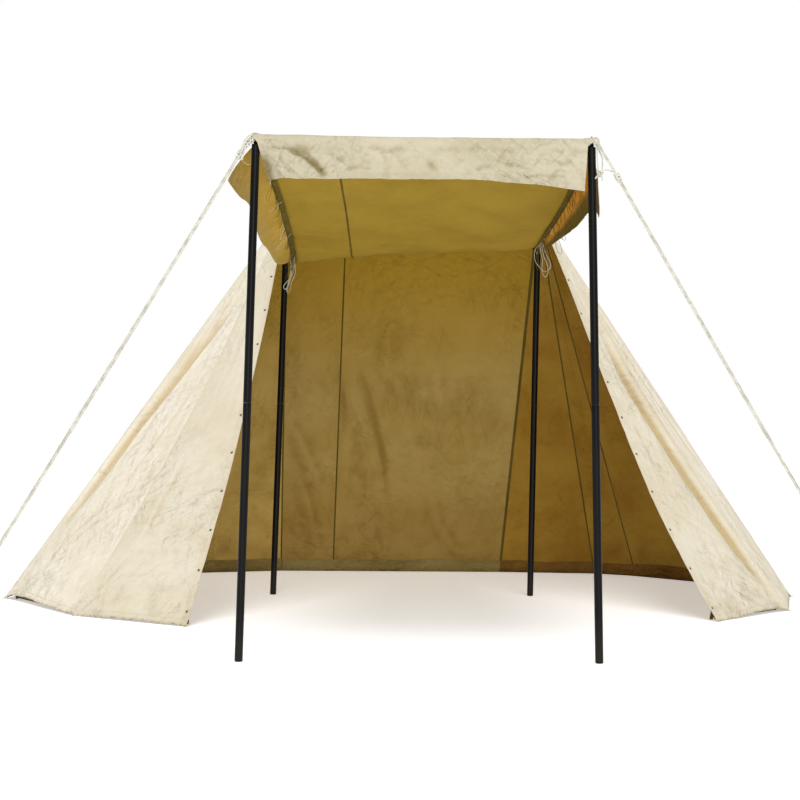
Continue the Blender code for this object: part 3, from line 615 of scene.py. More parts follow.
class Wall:
    def __init__(self, name, first, second, seed, folds=(), slack=0.006, pleats=0.02, lift=(), deepen=1.0,
                 bulge=0.02, grid=(110, 30), free_side=False):
        self.name, self.first, self.second, self.seed = name, first, second, seed
        self.slack, self.pleats, self.bulge = slack, pleats, bulge
        self.grid, self.free_side = grid, free_side
        self.lift = lift or [(0.0, 0.0), (0.5, 0.004), (1.0, 0.0)]
        (top_left, left), (top_right, right) = first(np.array([0.0, 1.0])), second(np.array([0.0, 1.0]))
        self.top_width = float(np.linalg.norm(top_left - top_right))
        self.hem_width = float(np.linalg.norm(right - left))
        self.slant = float(np.linalg.norm((left + right) / 2 - (top_left + top_right) / 2))
        self.area = self.slant * (self.top_width + self.hem_width) / 2
        normal = np.cross(right - left, top_left - left)
        self.outward = normal * (-1 if normal[2] < 0 else 1) / np.linalg.norm(normal)
        self.folds = []
        for line, *sizes in folds:
            route = [self.cloth(across / 100, down / 100) for across, down in line]
            near, far, depth = [size / 1000 for size in sizes]
            share = 0.42 + 0.58 * float(smooth_step(path_length(np.array(route)), 0.5, 1.4))
            self.folds.append((route, near, far, depth * share * deepen))

    def width(self, v):
        return self.top_width + (self.hem_width - self.top_width) * np.maximum(v, 0.0)

    def cloth(self, u, v):
        return (u - 0.5) * self.width(v), v * self.slant

    def heights(self, u, v):
        s, t = self.cloth(u, v)
        margin = np.minimum(0.1, 0.35 * self.width(v))
        beside = smooth_step((1 - u) * self.width(v), 0.0, margin)
        if not self.free_side:
            beside = beside * smooth_step(u * self.width(v), 0.0, margin)
        seed, slack = self.seed, self.slack
        pleats = self.pleats * v * np.exp(-(v / 0.45) ** 2) * soft_noise(u * 8.0, v * 1.7, seed)
        pleats += 0.5 * self.pleats * v * np.exp(-(v / 0.3) ** 2) * soft_noise(u * 15.0, v * 2.6, seed + 2)
        slow = 2.0 * slack * layered_noise(s, t * 0.55, 0.75, seed + 4, 2) * smooth_step(v, 0.1, 0.5)
        patchy = 0.55 + 0.6 * soft_noise(s * 1.9, t * 1.3, seed + 21)
        creased = slack * crumple(s, t, 0.3, seed + 7) * smooth_step(v, 0.2, 0.7)
        finer = 0.55 * slack * crumple(s, t * 1.3, 0.14, seed + 8) * smooth_step(v, 0.25, 0.8)
        finest = crumple(s * 0.9 + t * 0.3, t * 1.4, 0.065, seed + 9)
        finer += 0.26 * slack * finest * smooth_step(v, 0.2, 0.8)
        finer *= np.clip(patchy, 0.15, 1.3)
        swell = self.bulge * v * 4 * u * (1 - u)
        return (pleats + slow + creased + finer + lay_folds(s, t, self.folds)) * beside + swell

    def middle(self, u, v):
        u, v = np.asarray(u, dtype=float), np.asarray(v, dtype=float)
        rise = np.interp(u, *zip(*self.lift))
        along, seed = u * self.hem_width, self.seed
        frayed = 0.004 * (1 + soft_noise(along * 9, 3.3, seed + 11))
        frayed = frayed + 0.004 * np.abs(soft_noise(along * 24, 1.3, seed + 12))
        rise = rise + frayed * (u > 0.02) * (u < 0.98)
        down = v * (1 - np.maximum(rise, 0) / RIDGE_TOP * np.maximum(v, 0) ** 4)
        base = self.first(down) * (1 - u[..., None]) + self.second(down) * u[..., None]
        at_crown = smooth_step(v, 0.0, 0.06)
        at_hem = 1 - 0.55 * smooth_step(v, 0.93, 1.0)
        height = self.heights(u, v) * at_crown * at_hem
        place = base + height[..., None] * self.outward
        place[..., 2] = np.maximum(place[..., 2], LOWEST)
        return place, height

    def build(self, materials):
        rows, columns = self.grid
        v = np.concatenate([[-0.001], np.linspace(0, 1, rows) ** 1.03])
        u, v = np.meshgrid(np.linspace(0, 1, columns), v)
        middle, height = self.middle(u, v)
        s, t = self.cloth(u, v)
        flat = joined(s + self.seed * 1.37 % 7, t + self.seed * 2.11 % 5)
        down, slant = v * self.slant, self.slant
        hem = 0.4 * smooth_step(down, slant - 0.05, slant - 0.035)
        if self.free_side:
            hem = np.maximum(hem, 1 - smooth_step(u * self.width(v), 0.045, 0.06))
        patches = smooth_step(layered_noise(s, t, 0.22, self.seed + 30), 0.0, 0.6)
        soil = 0.9 * smooth_step(down, slant - 0.028, slant) ** 2 + 0.24 * smooth_step(v, 0.8, 0.97) * patches
        shaded = np.zeros(s.shape)
        for route, near, far, depth in self.folds:
            if depth < -DEEP_FOLD:
                beyond = one_fold(s - FAR_SLOPE, t, route, 0.7 * near, 1.2 * far, 0.9)
                shaded = np.maximum(shaded, beyond)
        blur = dict(reach=9, valley_depth=0.014) if rows > FINE_ROWS else {}
        self.sheet = make_sheet(self.name + "_cloth", middle, flat, self.outward, materials, height,
                                np.clip(soil, 0.0, 1.0), hem, shaded=shaded, **blur)
        dressed(self.sheet, "canvas", self.name)


# %% [markdown]
# The folds below are given in percent of a gore: across from its first seam, then down from
# the crown. After each line come the fold's width on its two sides and its depth, in millimetres.
# A negative depth is a valley.

# %% Folds of the two door flaps and their neighbours
FOLDS_LEFT_FRONT = [
    ([(27, 15), (60, 16), (84, 16.9)], 16, 12, -10),
    ([(45, 17), (55, 30), (58, 45)], 20, 20, -6),
    ([(80, 58), (80, 76), (79, 84)], 30, 22, 14),
    ([(73.5, 66), (74.5, 80), (77, 85)], 20, 28, -14),
    ([(76.3, 85), (81, 87.6), (85.5, 90), (89.6, 93), (92.5, 95.8), (95.5, 99)], 24, 48, -26),
    ([(80, 84.5), (87, 88.5), (93, 93), (97, 98.5)], 28, 24, 16),
    ([(58, 73.7), (38, 74.2), (20.6, 73.6)], 18, 14, -9),
    ([(85, 84), (74, 85), (58.7, 85.6), (54, 84.8), (41.6, 84.9), (30.5, 84.3), (20, 85.3)], 16, 22, -11),
    ([(18, 85.8), (28.2, 87.1), (36, 86.8)], 14, 14, -8),
    ([(85.5, 90), (74, 90.8), (67, 90.4), (52.5, 90.4), (41, 90), (26, 88.5)], 18, 26, -12),
    ([(66, 95.9), (57.7, 95.3), (52, 94.3), (48.8, 93)], 30, 22, -14),
    ([(95, 98), (81, 97.4), (68.6, 95.3)], 20, 20, -10),
    ([(17, 96), (11, 99)], 22, 22, -12),
    ([(97, 59.4), (83.5, 59.8), (78, 60.2)], 12, 16, -7),
    ([(69, 60.7), (52, 59.2), (42, 58.5)], 14, 14, -7),
    ([(96, 65), (88, 62), (82, 60)], 14, 14, -6),
    ([(70, 67.7), (44.6, 66.2), (29, 64.6)], 16, 16, -8),
    ([(30, 30), (24, 45), (20, 60)], 30, 30, -6)]
FOLDS_LEFT_SIDE = [
    ([(29, 18.5), (43, 22.4), (50, 28.3), (59, 33.7), (67, 37.9), (74, 43.6), (82, 50), (87, 55.2), (89, 60),
      (87, 70), (88, 76.5), (92, 83)], 70, 48, -62),
    ([(22, 20), (36, 30), (46, 36), (56, 42), (66, 50), (73, 58), (74, 70)], 24, 24, 14),
    ([(98, 40), (98.5, 60), (98, 75)], 30, 30, 12),
    ([(47, 68), (48.4, 73.5), (55.7, 79), (64.3, 82.7), (78, 86.2)], 22, 26, -14),
    ([(52, 85), (43, 86.5), (35.4, 87.6)], 16, 20, -10),
    ([(49.4, 88.5), (50, 93)], 22, 22, -10),
    ([(56.2, 48), (64.8, 54.9), (60, 60), (48.5, 65.4)], 12, 12, -6),
    ([(12, 40), (30, 55), (38, 68), (30, 80)], 18, 18, -8),
    ([(80, 96.2), (60, 97), (30, 98.2)], 20, 20, -12),
    ([(25, 90), (12, 97)], 22, 22, -12)]
FOLDS_RIGHT_FRONT = [
    ([(80, 27), (80, 33), (77, 40), (78, 51), (82, 59), (87, 72), (90, 81.5), (91, 90), (93, 96)],
      70, 50, -66),
    ([(35, 17), (50, 23.5), (62, 28.5), (72, 33)], 18, 18, -14),
    ([(30, 52), (31, 62.5), (33.3, 65.7), (34.8, 69.7), (36.4, 73.5)], 20, 28, -16),
    ([(30, 74), (21, 77.6), (12, 83)], 18, 24, -12),
    ([(52, 45), (55, 60), (58, 70)], 40, 40, 12),
    ([(33, 72.7), (45, 72.2), (61, 71.8)], 14, 18, -8),
    ([(18, 83.6), (33.3, 84.8), (51, 84), (69, 83.6)], 18, 24, -12),
    ([(18, 86.8), (31, 87.2), (39, 88.8), (36, 91.5), (53, 91.1)], 18, 20, -13),
    ([(66, 86.4), (76, 89.5)], 18, 18, -9),
    ([(39, 93.5), (55, 93.2), (68, 94.5)], 22, 22, -10),
    ([(10, 93), (22, 96), (30, 99)], 20, 24, -10)]
FOLDS_RIGHT_SIDE = [
    ([(40, 12), (45, 35), (50, 55), (52, 72)], 35, 35, -22),
    ([(75, 55), (70, 70), (62, 83)], 20, 20, -10),
    ([(20, 86), (45, 89), (70, 87)], 20, 20, -12)]
FOLDS_BACK_WIDE = [
    ([(0, 40), (8, 48), (15, 57), (23, 68), (27, 80)], 80, 55, -26),
    ([(7, 36), (17, 48), (25, 62), (29, 78)], 70, 45, 11),
    ([(26, 24), (25, 32), (24, 44.5)], 20, 16, -24),
    ([(30, 20), (36, 27), (33, 34)], 18, 22, -16),
    ([(24, 40), (33, 45.5), (36, 53)], 16, 22, -22),
    ([(42, 41), (47, 46), (45, 53), (50, 58)], 20, 16, -22),
    ([(52, 38), (56, 50), (55, 60)], 18, 24, -18),
    ([(34, 55), (41, 60), (46, 67)], 16, 20, -20),
    ([(70, 42), (72, 56), (80, 70)], 22, 24, -16),
    ([(30, 98.5), (23, 90), (16, 80)], 20, 24, -22),
    ([(30, 98.5), (31, 88), (30, 80)], 16, 20, -18),
    ([(31, 98.5), (38, 90), (46, 84)], 18, 20, -20),
    ([(55, 76), (60, 85), (70, 93), (86, 97)], 26, 26, -22),
    ([(97, 80), (88, 88), (80, 98.5)], 26, 26, -20)]
FOLDS_BACK_NARROW = [
    ([(5, 54), (40, 64), (80, 78)], 36, 28, -28),
    ([(3, 81.5), (40, 84.5), (61, 87), (96, 88.7)], 28, 26, -28),
    ([(10, 43), (35, 48), (60, 49)], 16, 16, -20),
    ([(20, 70), (45, 78), (70, 96)], 24, 22, -26)]
DOOR_FOLDS = (FOLDS_LEFT_FRONT, FOLDS_LEFT_SIDE, FOLDS_RIGHT_FRONT, FOLDS_RIGHT_SIDE)
print("hand-laid folds beside the door:", sum(map(len, DOOR_FOLDS)))

# %% [markdown]
# The back wall is two lengths of cloth, a narrow one and a wide one, between the end gores. Its hem
# lies a little to the left of the ridge, so its side seams lean, and its top goes over the ridge.

# %% Edges of the back wall
BACK_REACH, BACK_START = 1.85, 0.0009
SEAM_LEAN = -0.1456
BACK_SEAM_TOP = -0.52


def back_edge(top_x):
    def place(v):
        reach, height = slant_line(v, BACK_REACH, BACK_START)
        return joined(top_x + SEAM_LEAN * reach / BACK_REACH, RIDGE_Y + reach, height)
    return place


def seam_line(side, seam):
    return lambda v: seam_place(side, seam, v)


# %% Sew the walls
GORES_LEFT = {
    "door_flap_left_front": dict(seed=11, folds=FOLDS_LEFT_FRONT, slack=0.0055, bulge=0.012, grid=(250, 84),
                                 free_side=True, lift=[(0.0, 0.0), (0.5, 0.006), (1.0, 0.0)]),
    "door_flap_left_side": dict(seed=12, folds=FOLDS_LEFT_SIDE, slack=0.0055, pleats=0.022, bulge=0.03,
                                grid=(250, 88), lift=[(0.0, 0.0), (0.25, 0.006), (0.45, 0.016), (0.7, 0.034),
                                                      (0.92, 0.03), (1.0, 0.012)]),
    "gore_left_side": dict(seed=13), "gore_left_rear": dict(seed=14), "gore_left_back": dict(seed=15)}
GORES_RIGHT = {
    "door_flap_right_front": dict(seed=21, folds=FOLDS_RIGHT_FRONT, slack=0.0065, pleats=0.022, bulge=0.0,
                                  grid=(250, 80), free_side=True,
                                  lift=[(0.0, 0.0), (0.35, 0.004), (0.55, 0.022), (0.88, 0.026),
                                        (1.0, 0.004)]),
    "door_flap_right_side": dict(seed=22, folds=FOLDS_RIGHT_SIDE, pleats=0.022, bulge=0.03,
                                 lift=[(0.0, 0.004), (0.3, 0.02), (0.8, 0.03), (1.0, 0.01)]),
    "gore_right_side": dict(seed=23), "gore_right_rear": dict(seed=24),
    "gore_right_narrow": dict(seed=25, grid=(110, 16)), "gore_right_back": dict(seed=26)}
ENDS = {"left": (-1, SEAMS_LEFT, GORES_LEFT), "right": (1, SEAMS_RIGHT, GORES_RIGHT)}

walls = {}
for side, seams, gores in ENDS.values():
    for (name, facts), first, second in zip(gores.items(), seams, seams[1:]):
        walls[name] = Wall(name, seam_line(side, first), seam_line(side, second), **facts)
for name, start, end, seed, slack, grid, folds in (
        ("back_wall_narrow", -HALF_RIDGE, BACK_SEAM_TOP, 31, 0.006, (170, 28), FOLDS_BACK_NARROW),
        ("back_wall_wide", BACK_SEAM_TOP, HALF_RIDGE, 32, 0.008, (200, 90), FOLDS_BACK_WIDE)):
    walls[name] = Wall(name, back_edge(start), back_edge(end), seed, folds, slack, pleats=0.004, bulge=0.0,
                       deepen=1.5, grid=grid)
linings = dict.fromkeys(list(GORES_RIGHT)[2:], ochre_shaded) | dict.fromkeys(list(GORES_LEFT)[2:], ochre_lit)
for wall in walls.values():
    outer = cream_front if wall.free_side else cream if "side" in wall.name else cream_back
    wall.build([outer, linings.get(wall.name, ochre)])
    print(wall.name, triangle_count(wall.sheet), "triangles,", round(wall.area, 2), "square metres")

# %% [markdown]
# ## The raised front wall
# The front wall is thrown up over two front poles and becomes a canopy. It is one continuous sheet:
# from the ridge it drops into a deep sag, rises to the front bar, rolls over it and hangs down as a
# valance. Its side profile is a smooth curve through a few chosen points, and its rows are that
# curve read at even steps. Where it hangs free it gets long diagonal folds and a wavy surface, and
# the valance, which has been rolled and creased, is crumpled most.

# %% The canopy's side profile
BAR_LINE = 0.0238
FRONT_TOP = 3.05
RIDGE_BAR_Z = 2.9747
FRONT_BAR_Z = 3.0244
FRONT_REACH = 3.22
CANOPY_HALF = 0.955
CANOPY_TWIST = 0.16
CANOPY_SHAPE = [(0.12, 0.14, 0.952, 0.954), (0.3, 0.3, 0.943, 0.951), (0.5, 0.368, 0.93, 0.946),
                (0.75, 0.388, 0.914, 0.94), (1.0, 0.378, 0.902, 0.938), (1.3, 0.338, 0.9, 0.955),
                (1.6, 0.296, 0.902, 0.973), (2.1, 0.216, 0.914, 0.993), (2.6, 0.144, 0.932, 0.993),
                (3.0, 0.062, 0.946, 0.975)]
VALANCE_DROP = [(-0.945, 0.248), (-0.4, 0.247), (0.3, 0.248), (0.65, 0.27), (0.955, 0.308)]


def around_bar(forward, height, start, end, count):
    turns = np.radians(np.linspace(start, end, count))
    return [(forward + BAR_LINE * cos(a), height + BAR_LINE * sin(a), 0.0) for a in turns]


HANG_FROM, HANG_RISE, CORNER_REACH = 2.9985, 0.05, FRONT_REACH + 0.03
over_ridge = around_bar(0.0, RIDGE_BAR_Z, 90, 40, 7)
over_ridge[0] = (BACK_START, over_ridge[0][1], 0.0)
hanging = [over_ridge[-1]]
for forward, sag, left, right in CANOPY_SHAPE:
    hanging.append((forward, HANG_FROM + HANG_RISE * forward / FRONT_REACH - sag, sag * CANOPY_TWIST))
hanging.append(around_bar(FRONT_REACH, FRONT_BAR_Z, 104, 90, 2)[0])
over_front = around_bar(FRONT_REACH, FRONT_BAR_Z, 104, 0, 14)
canopy_profile = np.concatenate([over_ridge[:-1], smooth_route(hanging, 84), over_front[1:]])
widths = smooth_route([(0.0, CANOPY_HALF, CANOPY_HALF)] + [(f, l, r) for f, _, l, r in CANOPY_SHAPE]
                      + [(CORNER_REACH, CANOPY_HALF, CANOPY_HALF)], 200)
print("canopy cloth from ridge to front bar:", round(path_length(canopy_profile), 3), "m")


# %% Places on the canopy
def canopy_edge(side, forward):
    return np.interp(forward, widths[:, 0], widths[:, 1 if side < 0 else 2])


CANOPY_FOLDS = [
    ([(-0.42, 3.05), (-0.1, 2.3), (0.25, 1.6), (0.62, 1.02)], 0.1, 0.06, -0.022),
    ([(-0.2, 3.05), (0.15, 2.35), (0.55, 1.65), (0.85, 1.2)], 0.08, 0.1, 0.014),
    ([(-0.85, 2.85), (-0.62, 1.9), (-0.55, 1.2)], 0.06, 0.06, -0.012),
    ([(0.3, 3.0), (0.62, 2.2), (0.86, 1.5)], 0.05, 0.07, -0.012),
    ([(-0.8, 1.1), (-0.4, 0.85), (0.1, 0.95)], 0.08, 0.08, -0.014),
    ([(0.1, 0.8), (0.45, 0.9), (0.8, 0.72)], 0.07, 0.07, -0.016)]


def canopy_height(x, forward):
    free = smooth_step(forward, 0.05, 0.4) * (1 - smooth_step(forward, 2.95, 3.19))
    inner = smooth_step(CANOPY_HALF - np.abs(x), 0.0, 0.12)
    wave = 0.016 * layered_noise(x, forward * 0.7, 0.55, 41, 2) + 0.006 * crumple(x, forward * 0.8, 0.26, 44)
    drawn = 0.007 * soft_noise(x * 5.0, forward * 0.8, 47) * smooth_step(forward, 2.3, 2.9)
    return (wave * (0.35 + 0.65 * inner) + (drawn + lay_folds(x, forward, CANOPY_FOLDS)) * inner) * free


def canopy_place(x, forward):
    base, twist = [np.interp(forward, canopy_profile[:, 0], canopy_profile[:, k]) for k in (1, 2)]
    z = base + twist * x / CANOPY_HALF + canopy_height(x, forward)
    return joined(x, RIDGE_Y - forward, z)


# %% [markdown]
# The valance hangs from the front bar. Its drop is a little longer at the right, and its left end
# leans in. Deep diagonal folds near the left, and crumples all over, stand out from its plane.

# %% Cut and hang the canopy with its valance
VALANCE_ROWS = 54
VALANCE_COLUMNS = 200
VALANCE_FOLDS = [
    ([(-0.8, 0.085), (-0.71, 0.11), (-0.655, 0.155), (-0.6, 0.205), (-0.56, 0.25)], 0.016, 0.06, -0.046),
    ([(-0.9, 0.075), (-0.8, 0.068), (-0.72, 0.078)], 0.014, 0.016, -0.014),
    ([(-0.865, 0.12), (-0.82, 0.175), (-0.775, 0.235)], 0.012, 0.026, -0.022),
    ([(-0.62, 0.085), (-0.52, 0.12), (-0.44, 0.175), (-0.4, 0.24)], 0.02, 0.022, -0.013),
    ([(-0.5, 0.2), (-0.38, 0.175), (-0.27, 0.19)], 0.016, 0.018, -0.012),
    ([(-0.26, 0.075), (-0.16, 0.115), (-0.1, 0.2)], 0.018, 0.022, -0.012),
    ([(-0.05, 0.085), (0.02, 0.15), (0.12, 0.235)], 0.016, 0.022, -0.015),
    ([(0.3, 0.2), (0.42, 0.135), (0.52, 0.085)], 0.02, 0.018, -0.015),
    ([(0.4, 0.13), (0.52, 0.16), (0.66, 0.2)], 0.016, 0.018, -0.012),
    ([(0.55, 0.25), (0.68, 0.215), (0.84, 0.225)], 0.018, 0.02, -0.014),
    ([(0.9, 0.09), (0.82, 0.15), (0.76, 0.165)], 0.016, 0.02, -0.015)]


def valance_crease(x, level):
    crumpled = 0.012 * crumple(x, level * 1.1, 0.15, 53)
    crumpled += 0.0065 * crumple(x + level * 0.4, level * 1.3, 0.075, 54)
    crumpled += 0.0028 * crumple(x, level * 1.2, 0.036, 56) + 0.01 * layered_noise(x, level * 0.8, 0.3, 55, 2)
    patchy = 0.75 + 0.45 * soft_noise(x * 1.3, level * 0.5, 59)
    tucked = 0.009 * np.exp(-((level - 0.074) / 0.024) ** 2) * (0.75 + 0.5 * soft_noise(x * 2.2, 0.4, 60))
    turned_back = 0.085 * smooth_step(-x, 0.84, 0.96) * smooth_step(level, 0.07, 0.17)
    return crumpled * patchy + lay_folds(x, level, VALANCE_FOLDS) - tucked - turned_back


def bunched(x):
    """Extra thickness of the cloth over the bar"""
    return 0.0022 * (1 + soft_noise(x * 6.5, 1.9, 62)) + 0.009 * smooth_step(-x, 0.15, 0.95)


columns = np.linspace(0, 1, VALANCE_COLUMNS)
canopy_rows = []
travel = 0.0
for k, (forward, height, twist) in enumerate(canopy_profile):
    if k:
        travel += dist(canopy_profile[k][:2], canopy_profile[k - 1][:2])
    left, right = [canopy_edge(side, min(forward, CORNER_REACH)) for side in (-1, 1)]
    x = -left + (left + right) * columns
    swell = canopy_height(x, np.full_like(x, forward))
    from_bar = np.array([forward - FRONT_REACH, height - FRONT_BAR_Z])
    radial = from_bar / np.linalg.norm(from_bar)
    over = bunched(x) * float(smooth_step(forward, FRONT_REACH - 0.14, FRONT_REACH - 0.01))
    z = height + twist * x / CANOPY_HALF + swell + over * radial[1]
    canopy_rows.append([x, RIDGE_Y - forward - over * radial[0], z, x, np.full_like(x, travel), swell])
for share in np.linspace(0, 1, VALANCE_ROWS)[1:]:
    x = -CANOPY_HALF + 2 * CANOPY_HALF * columns
    drop = np.interp(x, *zip(*VALANCE_DROP))
    drop = drop + 0.004 * soft_noise(x * 6, 0.7, 58) + 0.0016 * soft_noise(x * 34, 0.7, 63)
    down = (drop - (FRONT_TOP - FRONT_BAR_Z)) * share
    lean = (-0.012 + 0.062 * share) * smooth_step(-x, 0.55, CANOPY_HALF) ** 1.5
    lean = lean - 0.018 * share * smooth_step(x, 0.5, CANOPY_HALF)
    over = bunched(x) * (1 - share)
    crease = (valance_crease(x, down + 0.026) + 0.003) * smooth_step(share, 0.0, 0.16) + over
    y = RIDGE_Y - FRONT_REACH - BAR_LINE - crease
    canopy_rows.append([x + lean, y, FRONT_BAR_Z - down, x, travel + down, crease - over])
canopy_all = np.moveaxis(np.array(canopy_rows), 1, -1)
canopy_grid, canopy_flat, canopy_rise = canopy_all[..., :3], canopy_all[..., 3:5], canopy_all[..., 5]
last = canopy_flat[-1, :, 1][None, :]
canopy_border = smooth_step(canopy_flat[..., 1], last - 0.046, last - 0.036)
end_x, level = canopy_grid[..., 0], FRONT_TOP - canopy_grid[..., 2]
# Painted shade: the soil attribute darkens the valance's turned-back left end
valance_end_shade = 0.55 * smooth_step(-end_x, 0.86, 0.93) * smooth_step(level, 0.05, 0.13)
valance_end_shade = valance_end_shade * (canopy_grid[..., 1] < RIDGE_Y - FRONT_REACH)
outward = grid_normals(canopy_grid, (0, -1, 1))
canopy = make_sheet("canopy_sheet", canopy_grid, canopy_flat, outward, [canopy_cream_shaded, olive], canopy_rise,
                    soil=valance_end_shade, border=canopy_border, valley_depth=0.02, reach=11)
dressed(canopy, "canopy_canvas", "canopy_narrow", "canopy_wide", "front_valance")
print("canopy:", triangle_count(canopy), "triangles, cut", round(float(last.max()), 2), "m long")

# %% [markdown]
# ## The overlap flaps and lacing strips
# Along each long edge of the canopy hangs an overlap flap, which covers the lacing when the wall is
# down. Beside it, on the underside, runs a doubled strip that carries the lacing loops. Both are
# loose here, so the flap swings out in soft waves and the strip's inner edge droops and twists.

# %% Hang the overlap flaps
OVERLAP_LEFT = [(0.3, 0.02, 0.03), (0.5, 0.043, 0.02), (0.75, 0.098, 0.02), (1.0, 0.119, 0.033),
                (1.3, 0.143, 0.05), (1.6, 0.168, 0.065), (2.1, 0.156, 0.107), (2.6, 0.128, 0.145),
                (2.9, 0.15, 0.205), (3.185, 0.185, 0.241)]
OVERLAP_RIGHT = [(0.3, 0.012, 0.03), (0.75, 0.022, 0.02), (1.2, 0.045, 0.06), (1.6, 0.053, 0.104),
                 (1.9, 0.046, 0.152), (2.3, 0.052, 0.184), (2.6, 0.056, 0.214), (2.85, 0.066, 0.27),
                 (3.05, 0.074, 0.39), (3.185, 0.062, 0.27)]
OVERLAP_BULGE = {-1: 0.2, 1: 0.08}
UNDER_CANOPY = 0.0022


def hang_overlap(name, side, stations, seed, inner_face, shaded):
    smooth = smooth_route(stations, 150)
    across = np.linspace(0, 1, 13)
    t = across[:, None]
    grid, flat, rise = [], [], []
    for forward, reach, drop in smooth:
        root = canopy_place(np.array(side * (canopy_edge(side, forward) - 0.003)), np.array(forward))
        root[2] -= UNDER_CANOPY
        fall = np.array([side * (reach + 0.004), 0.0, -drop + 0.002])
        bulge = np.array([side * OVERLAP_BULGE[side] * drop, 0.0, 0.0])
        curve = root + 2 * t * (1 - t) * (fall / 2 + bulge) + t * t * fall
        size = hypot(reach, drop)
        wave = 0.01 * soft_noise(across * 0.8, forward * 5.0, seed)
        wave += 0.004 * soft_noise(across * 1.5, forward * 13.0, seed + 1)
        wave += 0.0015 * crumple(across * size, forward, 0.07, seed + 2)
        wave *= smooth_step(across, 0.0, 0.5)
        grid.append(curve + wave[:, None] * np.array([side * drop, 0.0, reach]) / size)
        along = np.full_like(across, forward - smooth[0][0])
        flat.append(joined(across * size + 11.0 + side, along))
        rise.append(wave)
    grid, flat, rise = map(np.stack, (grid, flat, rise))
    ragged = 0.1 * soft_noise(across * 0.5, flat[:, :1, 1] * 4.0, seed + 6)
    # The border mask here paints the shaded part of the flap's inside
    flap = make_sheet(name + "_sheet", grid, flat, (side, 0, 0.4), [canopy_cream_shaded, inner_face], rise,
                      border=smooth_step(across + ragged, *shaded), valley_depth=0.008)
    dressed(flap, "canopy_canvas", name)
    travel = float(along[0])
    widest = float(flat[:, -1, 0].max() - flat[:, 0, 0].min())
    area = float(np.mean(flat[:, -1, 0] - flat[:, 0, 0])) * travel
    return flap


report("overlap flaps", hang_overlap("overlap_flap_left", -1, OVERLAP_LEFT, 61, flap_olive, (0.35, 0.85)),
       hang_overlap("overlap_flap_right", 1, OVERLAP_RIGHT, 67, flap_amber, (0.34, 0.6)))


# %% Sew the lacing strips under the canopy
STRIP_WIDTH, STRIP_LENGTH = 0.042, 3.2
strip_grids = {}


def sew_strip(name, side, seed):
    grid, flat, rise = [], [], []
    across = np.linspace(0, 1, 9)
    for forward in np.linspace(0.12, 3.0, 150):
        x = side * (canopy_edge(side, forward) - 0.002 - STRIP_WIDTH * across)
        ahead = np.full_like(x, forward)
        place = canopy_place(x, ahead)
        droop = 0.5 + 0.5 * soft_noise(forward * 7.0, across * 0.9, seed)
        curl = 0.5 + 0.5 * soft_noise(forward * 17.0, across * 1.7, seed + 4)
        fall = across * (0.012 * droop + 0.007 * curl) + UNDER_CANOPY
        place[:, 2] -= fall
        grid.append(place)
        rise.append(-fall)
        flat.append(joined(across * STRIP_WIDTH + 17.0, ahead))
    grid, flat, rise = map(np.stack, (grid, flat, rise))
    strip_grids[side] = grid
    strip = make_sheet(name + "_cloth", grid, flat, (0, 0, 1), [doubled_inside, strip_cloth], rise,
                       thick=0.003, valley_depth=0.006)
    return dressed(strip, "doubled_canvas", name)


lacing_strips = [sew_strip("lacing_strip_left", -1, 71), sew_strip("lacing_strip_right", 1, 77)]
report("lacing strips", *lacing_strips)

# %% [markdown]
# ## The sod cloth
# A strip of rougher cloth is sewn inside the foot of the walls and lies on the ground, to keep out
# draught. Its upper edge follows the wall that it is sewn to, folds and all, so it never shows
# through it, and its lower edge wanders in shallow waves.

# %% Lay the sod cloth
SOD_WIDTH, SOD_REACH, SEWN_AT, INSIDE_WALL = 0.138, 0.1, 0.968, 0.0032


def lay_sod(name, parts, finish):
    tops, feet, outs, flats, heights = [], [], [], [], []
    travel = 0.0
    for part in parts:
        wall = walls[part]
        count = max(12, int(wall.hem_width / 0.022))
        u = np.linspace(0.045 if part == parts[0] else 0.0, 1.0, count)[: None if part == parts[-1] else -1]
        run = travel + u * wall.hem_width
        sewn = SEWN_AT + 0.006 * soft_noise(run * 2.3, 0.6, 87)
        hem = wall.first(np.ones_like(u)) * (1 - u[:, None]) + wall.second(np.ones_like(u)) * u[:, None]
        level = unit([wall.outward[0], wall.outward[1], 0.0])
        heights.append(RIDGE_TOP * (1 - sewn))
        tops.append(wall.middle(u, sewn)[0] - wall.outward * INSIDE_WALL)
        feet.append(hem - level * SOD_REACH)
        outs.append(np.repeat(level[None], len(u), axis=0))
        flats.append(run)
        travel += wall.hem_width
    tops, feet, outs, run, heights = map(np.concatenate, (tops, feet, outs, flats, heights))
    grid, flat, rise = [], [], []
    shares = np.linspace(0, 1, 9)
    for share in shares:
        wave = 0.012 * soft_noise(run * 3.1, share, 81) + 0.006 * soft_noise(run * 9.0, share * 2, 83)
        wave = np.abs(wave * smooth_step(share, 0.1, 0.7))
        place = tops * (1 - share) + feet * share - outs * (wave * 0.8)[:, None]
        place[:, 2] = heights * (1 - share) ** 1.25 + 0.0018
        grid.append(place)
        rise.append(-wave)
        flat.append(joined(run, np.full_like(run, share * 0.16)))
    grid, flat, rise = map(np.stack, (grid, flat, rise))
    soil = np.repeat(smooth_step(shares, 0.25, 1.0)[:, None] * 0.8, len(run), axis=1)
    strip = make_sheet(name + "_strip", grid, flat, np.repeat(outs[None], len(shares), axis=0) + (0, 0, 0.6),
                       [finish, finish], rise, soil=soil, valley_depth=0.008)
    dressed(strip, "sod_canvas", name)
    return strip


report("sod cloth", lay_sod("sod_cloth_left", list(GORES_LEFT), sod_cloth),
       lay_sod("sod_cloth_right", list(GORES_RIGHT), sod_shaded),
       lay_sod("sod_cloth_back", ["back_wall_narrow", "back_wall_wide"], sod_cloth))

